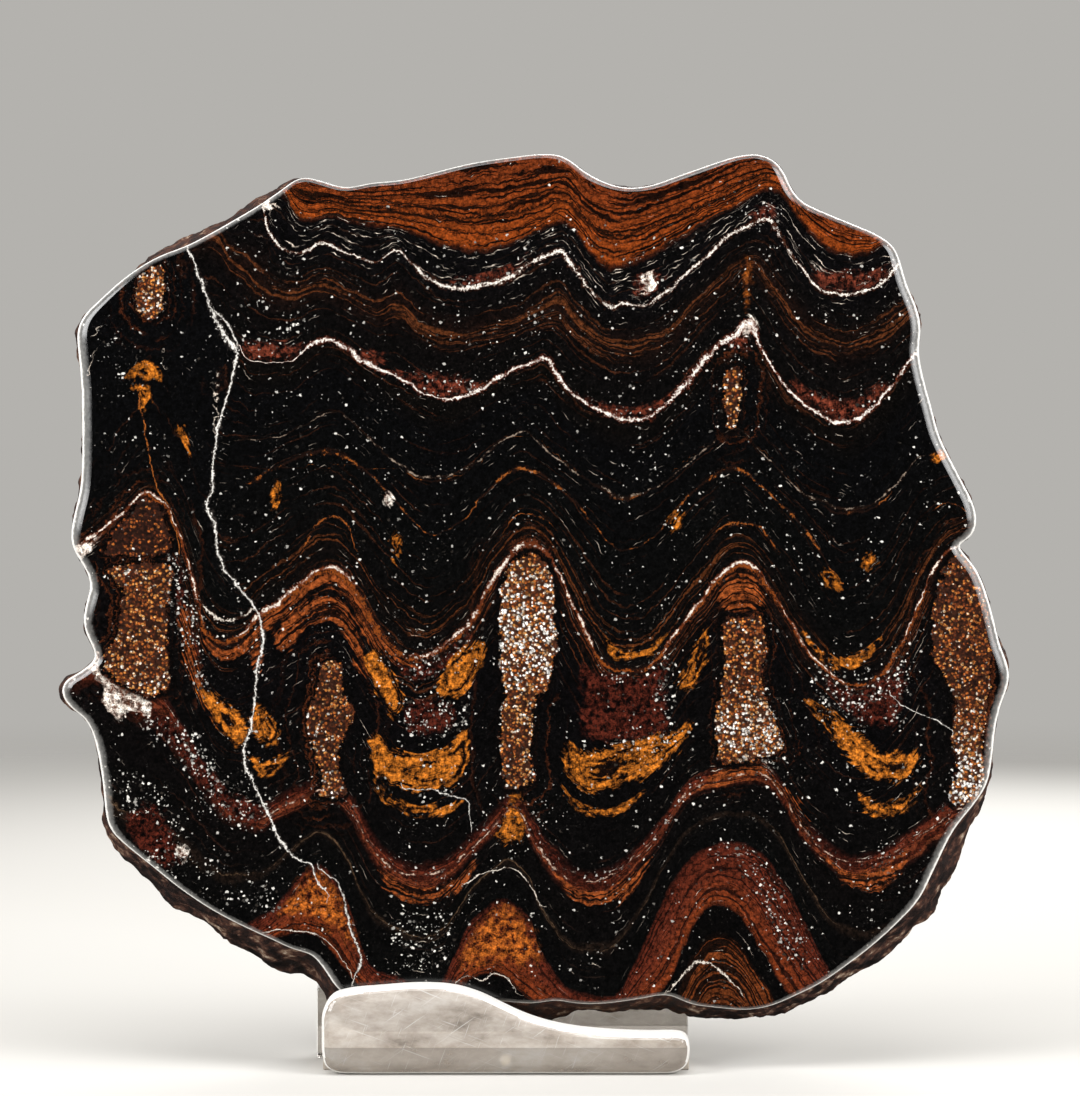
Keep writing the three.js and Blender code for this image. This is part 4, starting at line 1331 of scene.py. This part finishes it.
clear_acrylic, clear_tree, clear_bsdf = new_material("cast acrylic")
plate_points, plate_normals, plate_faces = smooth_sides("stand_front_plate", 2)
plate_points, plate_faces = fill_ends(plate_points, plate_faces, 0.0012, 0.0015)
front_plate = make_piece("stand_front_lip", plate_points, plate_faces, "stand_front_plate", "acrylic",
                         clear_acrylic)

# %% [markdown]
# The back plate and the bar were sawn from sheet, and their edges were broken with a file.
# A small rounded bevel on the solid's own edges does that.

# %% Back plate and bar
EDGE_BREAK_MM = 0.35


def broken_edges(node):
    """The points and faces of a solid whose sharp edges are rounded a little."""
    block = bmesh.new()
    block.from_mesh(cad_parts[node].data)
    bmesh.ops.remove_doubles(block, verts=block.verts, dist=1e-6)
    bmesh.ops.dissolve_limit(block, angle_limit=math.radians(2), verts=block.verts[:], edges=block.edges[:])
    sharp_edges = [e for e in block.edges
                   if len(e.link_faces) == 2 and e.calc_face_angle() > math.radians(30)]
    bmesh.ops.bevel(block, geom=sharp_edges, offset=EDGE_BREAK_MM / 1000, segments=3, profile=0.5,
                    affect="EDGES", clamp_overlap=True)
    bmesh.ops.triangulate(block, faces=[f for f in block.faces if len(f.verts) > 4])
    block.verts.index_update()
    return [v.co[:] for v in block.verts], [[v.index for v in f.verts] for f in block.faces]


back_plate = make_piece("stand_rear_plate", *broken_edges("stand_back_plate"), "stand_back_plate", "acrylic",
                        clear_acrylic)
frosted_acrylic, frosted_tree, frosted_bsdf = new_material("ground acrylic left frosted")
sawn_acrylic, sawn_tree, sawn_bsdf = new_material("sawn acrylic")
bar = make_piece("stand_bar", *broken_edges("stand_spacer_bar"), "stand_spacer_bar", "acrylic", sawn_acrylic)

# %% [markdown]
# Cast acrylic is clear, with an index of 1.49. Its surfaces decide its looks, and here there are five.
# The faces in the slot are still clear. The outer faces are wiped and scratched,
# so more than half of the light scatters at them.
# Low down, where a plate is cemented to the bar, it stayed clearer, with a level line above.
# The ground bevel and the plates' edges are frosted, and look white. The bar is sawn all over, and duller.
# Each is a material with its own plain value for transmission, and a face takes the one for its place.

# %% Acrylic finishes
OUTER_HAZE = 0.6
STRIP_HAZE = 0.32
FROST = 0.9
BEVEL_SLOPE = 0.66  # a face whose normal has less of the Y axis in it than this was ground

hazy_acrylic, hazy_tree, hazy_bsdf = new_material("cast acrylic with a wiped and scratched face")
strip_acrylic, strip_tree, strip_bsdf = new_material("cast acrylic cemented to the bar")
for bsdf, haze in ((clear_bsdf, 0.0), (hazy_bsdf, OUTER_HAZE), (strip_bsdf, STRIP_HAZE), (sawn_bsdf, FROST),
                   (frosted_bsdf, FROST)):
    bsdf.inputs["Transmission Weight"].default_value = 1.0 - haze
    bsdf.inputs["IOR"].default_value = 1.49

pin_low, pin_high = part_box("stand_pin")
pin_radius = (pin_high.x - pin_low.x) / 2
pin_middle = (pin_low + pin_high) / 2
bar_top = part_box("stand_spacer_bar")[1].z
outer_faces = ((front_plate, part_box("stand_front_plate")[0].y), (back_plate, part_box("stand_back_plate")[1].y))
for piece, outer_y in outer_faces:
    for finish in (hazy_acrylic, strip_acrylic, frosted_acrylic):
        piece.data.materials.append(finish)
    cut = bmesh.new()
    cut.from_mesh(piece.data)
    bmesh.ops.bisect_plane(cut, geom=cut.verts[:] + cut.edges[:] + cut.faces[:], dist=1e-6,
                           plane_co=(0, 0, bar_top), plane_no=(0, 0, 1))
    for face in cut.faces:
        middle = face.calc_center_median()
        if (middle - pin_middle).xz.length < 1.3 * pin_radius and abs(middle.y - outer_y) > 0.001:
            continue
        if abs(face.normal.y) < BEVEL_SLOPE:
            face.material_index = 3
        elif abs(middle.y - outer_y) < 0.0015:
            face.material_index = 2 if middle.z < bar_top else 1
    cut.to_mesh(piece.data)

# %% [markdown]
# The haze is drawn in the colour: cloudy smears some 1 cm long, and fine slanting scratches over them.
# The frost is a bump as fine as the grit that ground it.

# %% Haze, scratches and frost
for tree, bsdf, tones in ((hazy_tree, hazy_bsdf, ("#9c9288", "#c6bbb0", "#e0d6cc", "#f6f1ea")),
                          (strip_tree, strip_bsdf, ("#cac0b5", "#dad0c6", "#e8dfd5", "#f8f4ee"))):
    metres = add(tree, "ShaderNodeTexCoord", out="Object")
    mm = add(tree, "ShaderNodeVectorMath", {0: metres, "Scale": 1000.0}, operation="SCALE")
    stretched = add(tree, "ShaderNodeVectorMath", {0: mm, 1: (0.1, 0.3, 0.22)}, operation="MULTIPLY")
    smudge = noise_of(tree, stretched, 1.0, 5.0, 0.65)
    film = add(tree, "ShaderNodeValToRGB", {0: smudge})
    set_stops(film, [(place, linear(tone)) for place, tone in zip((0.3, 0.42, 0.55, 0.7), tones)])
    for angle, spread in ((0.6, 0.12), (-0.35, 0.09), (1.2, 0.2)):
        slanted = add(tree, "ShaderNodeVectorRotate", {"Vector": mm, "Angle": angle}, rotation_type="Y_AXIS")
        slanted = add(tree, "ShaderNodeVectorMath", {0: slanted, 1: (spread, 0.2, 3.5)}, operation="MULTIPLY")
        scratch = noise_of(tree, slanted, 1.0, 1.0)
        scratch = fade(tree, scratch, 0.7, 0.78, 0.0, 0.7)
        film = blend(tree, scratch, film, "#fdfbf8")
    tree.links.new(film, bsdf.inputs["Base Color"])
    rough = fade(tree, smudge, 0.3, 0.7, 0.02, 0.1)
    tree.links.new(rough, bsdf.inputs["Roughness"])

metres = add(clear_tree, "ShaderNodeTexCoord", out="Object")
ripple = noise_of(clear_tree, metres, 150.0, 4.0)
rough = fade(clear_tree, ripple, 0.0, 1.0, 0.01, 0.06)
clear_tree.links.new(rough, clear_bsdf.inputs["Roughness"])
clear_bsdf.inputs["Base Color"].default_value = linear("#f6f3ee")

for tree, bsdf, dark, light in ((frosted_tree, frosted_bsdf, "#dcd8d2", "#fbfaf8"),
                                (sawn_tree, sawn_bsdf, "#aca296", "#bcb2a6")):
    metres = add(tree, "ShaderNodeTexCoord", out="Object")
    grit = noise_of(tree, metres, 1900.0, 3.0)
    frost = blend(tree, grit, dark, light)
    tree.links.new(frost, bsdf.inputs["Base Color"])
    rough = fade(tree, grit, 0.0, 1.0, 0.5, 0.7)
    tree.links.new(rough, bsdf.inputs["Roughness"])
    bump = add(tree, "ShaderNodeBump", {"Height": grit, "Strength": 0.3, "Distance": 0.0003})
    tree.links.new(bump, bsdf.inputs["Normal"])

# %% [markdown]
# A cream nylon pin runs through the bar into both plates and keeps them in line. It shows as a pale pill
# through the front plate. Its ends are rounded over, as a cut rod's are after a touch of a file.

# %% Pin
PIN_SIDES = 32

profile = [(pin_low.y, 0.0), (pin_low.y, 0.7), (pin_low.y + 0.0001, 0.9), (pin_low.y + 0.0004, 1.0),
           (pin_high.y - 0.0004, 1.0), (pin_high.y - 0.0001, 0.9), (pin_high.y, 0.7), (pin_high.y, 0.0)]
rod = bmesh.new()
rings = []
for y, share_of_radius in profile:
    ring = []
    for k in range(PIN_SIDES):
        turn = 2 * math.pi * k / PIN_SIDES
        r = pin_radius * share_of_radius
        spot = (pin_middle.x + r * math.cos(turn), y, pin_middle.z + r * math.sin(turn))
        ring.append(rod.verts.new(spot))
    rings.append(ring)
for first, second in zip(rings, rings[1:]):
    for k in range(PIN_SIDES):
        n = (k + 1) % PIN_SIDES
        rod.faces.new((first[k], first[n], second[n], second[k]))
bmesh.ops.remove_doubles(rod, verts=rod.verts, dist=1e-7)
bmesh.ops.recalc_face_normals(rod, faces=rod.faces)
rod.verts.index_update()

nylon, tree, nylon_bsdf = new_material("cut nylon rod")
metres = add(tree, "ShaderNodeTexCoord", out="Object")
mottle = noise_of(tree, metres, 900.0, 3.0)
cream = blend(tree, mottle, "#f8f2de", "#fffbf0")
tree.links.new(cream, nylon_bsdf.inputs["Base Color"])
worn = fade(tree, mottle, 0.0, 1.0, 0.45, 0.65)
tree.links.new(worn, nylon_bsdf.inputs["Roughness"])
nylon_bsdf.inputs["IOR"].default_value = 1.53
bump = add(tree, "ShaderNodeBump", {"Height": mottle, "Strength": 0.1, "Distance": 0.0002})
tree.links.new(bump, nylon_bsdf.inputs["Normal"])
rod_points = [v.co[:] for v in rod.verts]
rod_faces = [[v.index for v in f.verts] for f in rod.faces]
pin = make_piece("stand_cross_pin", rod_points, rod_faces, "stand_pin", "nylon", nylon)
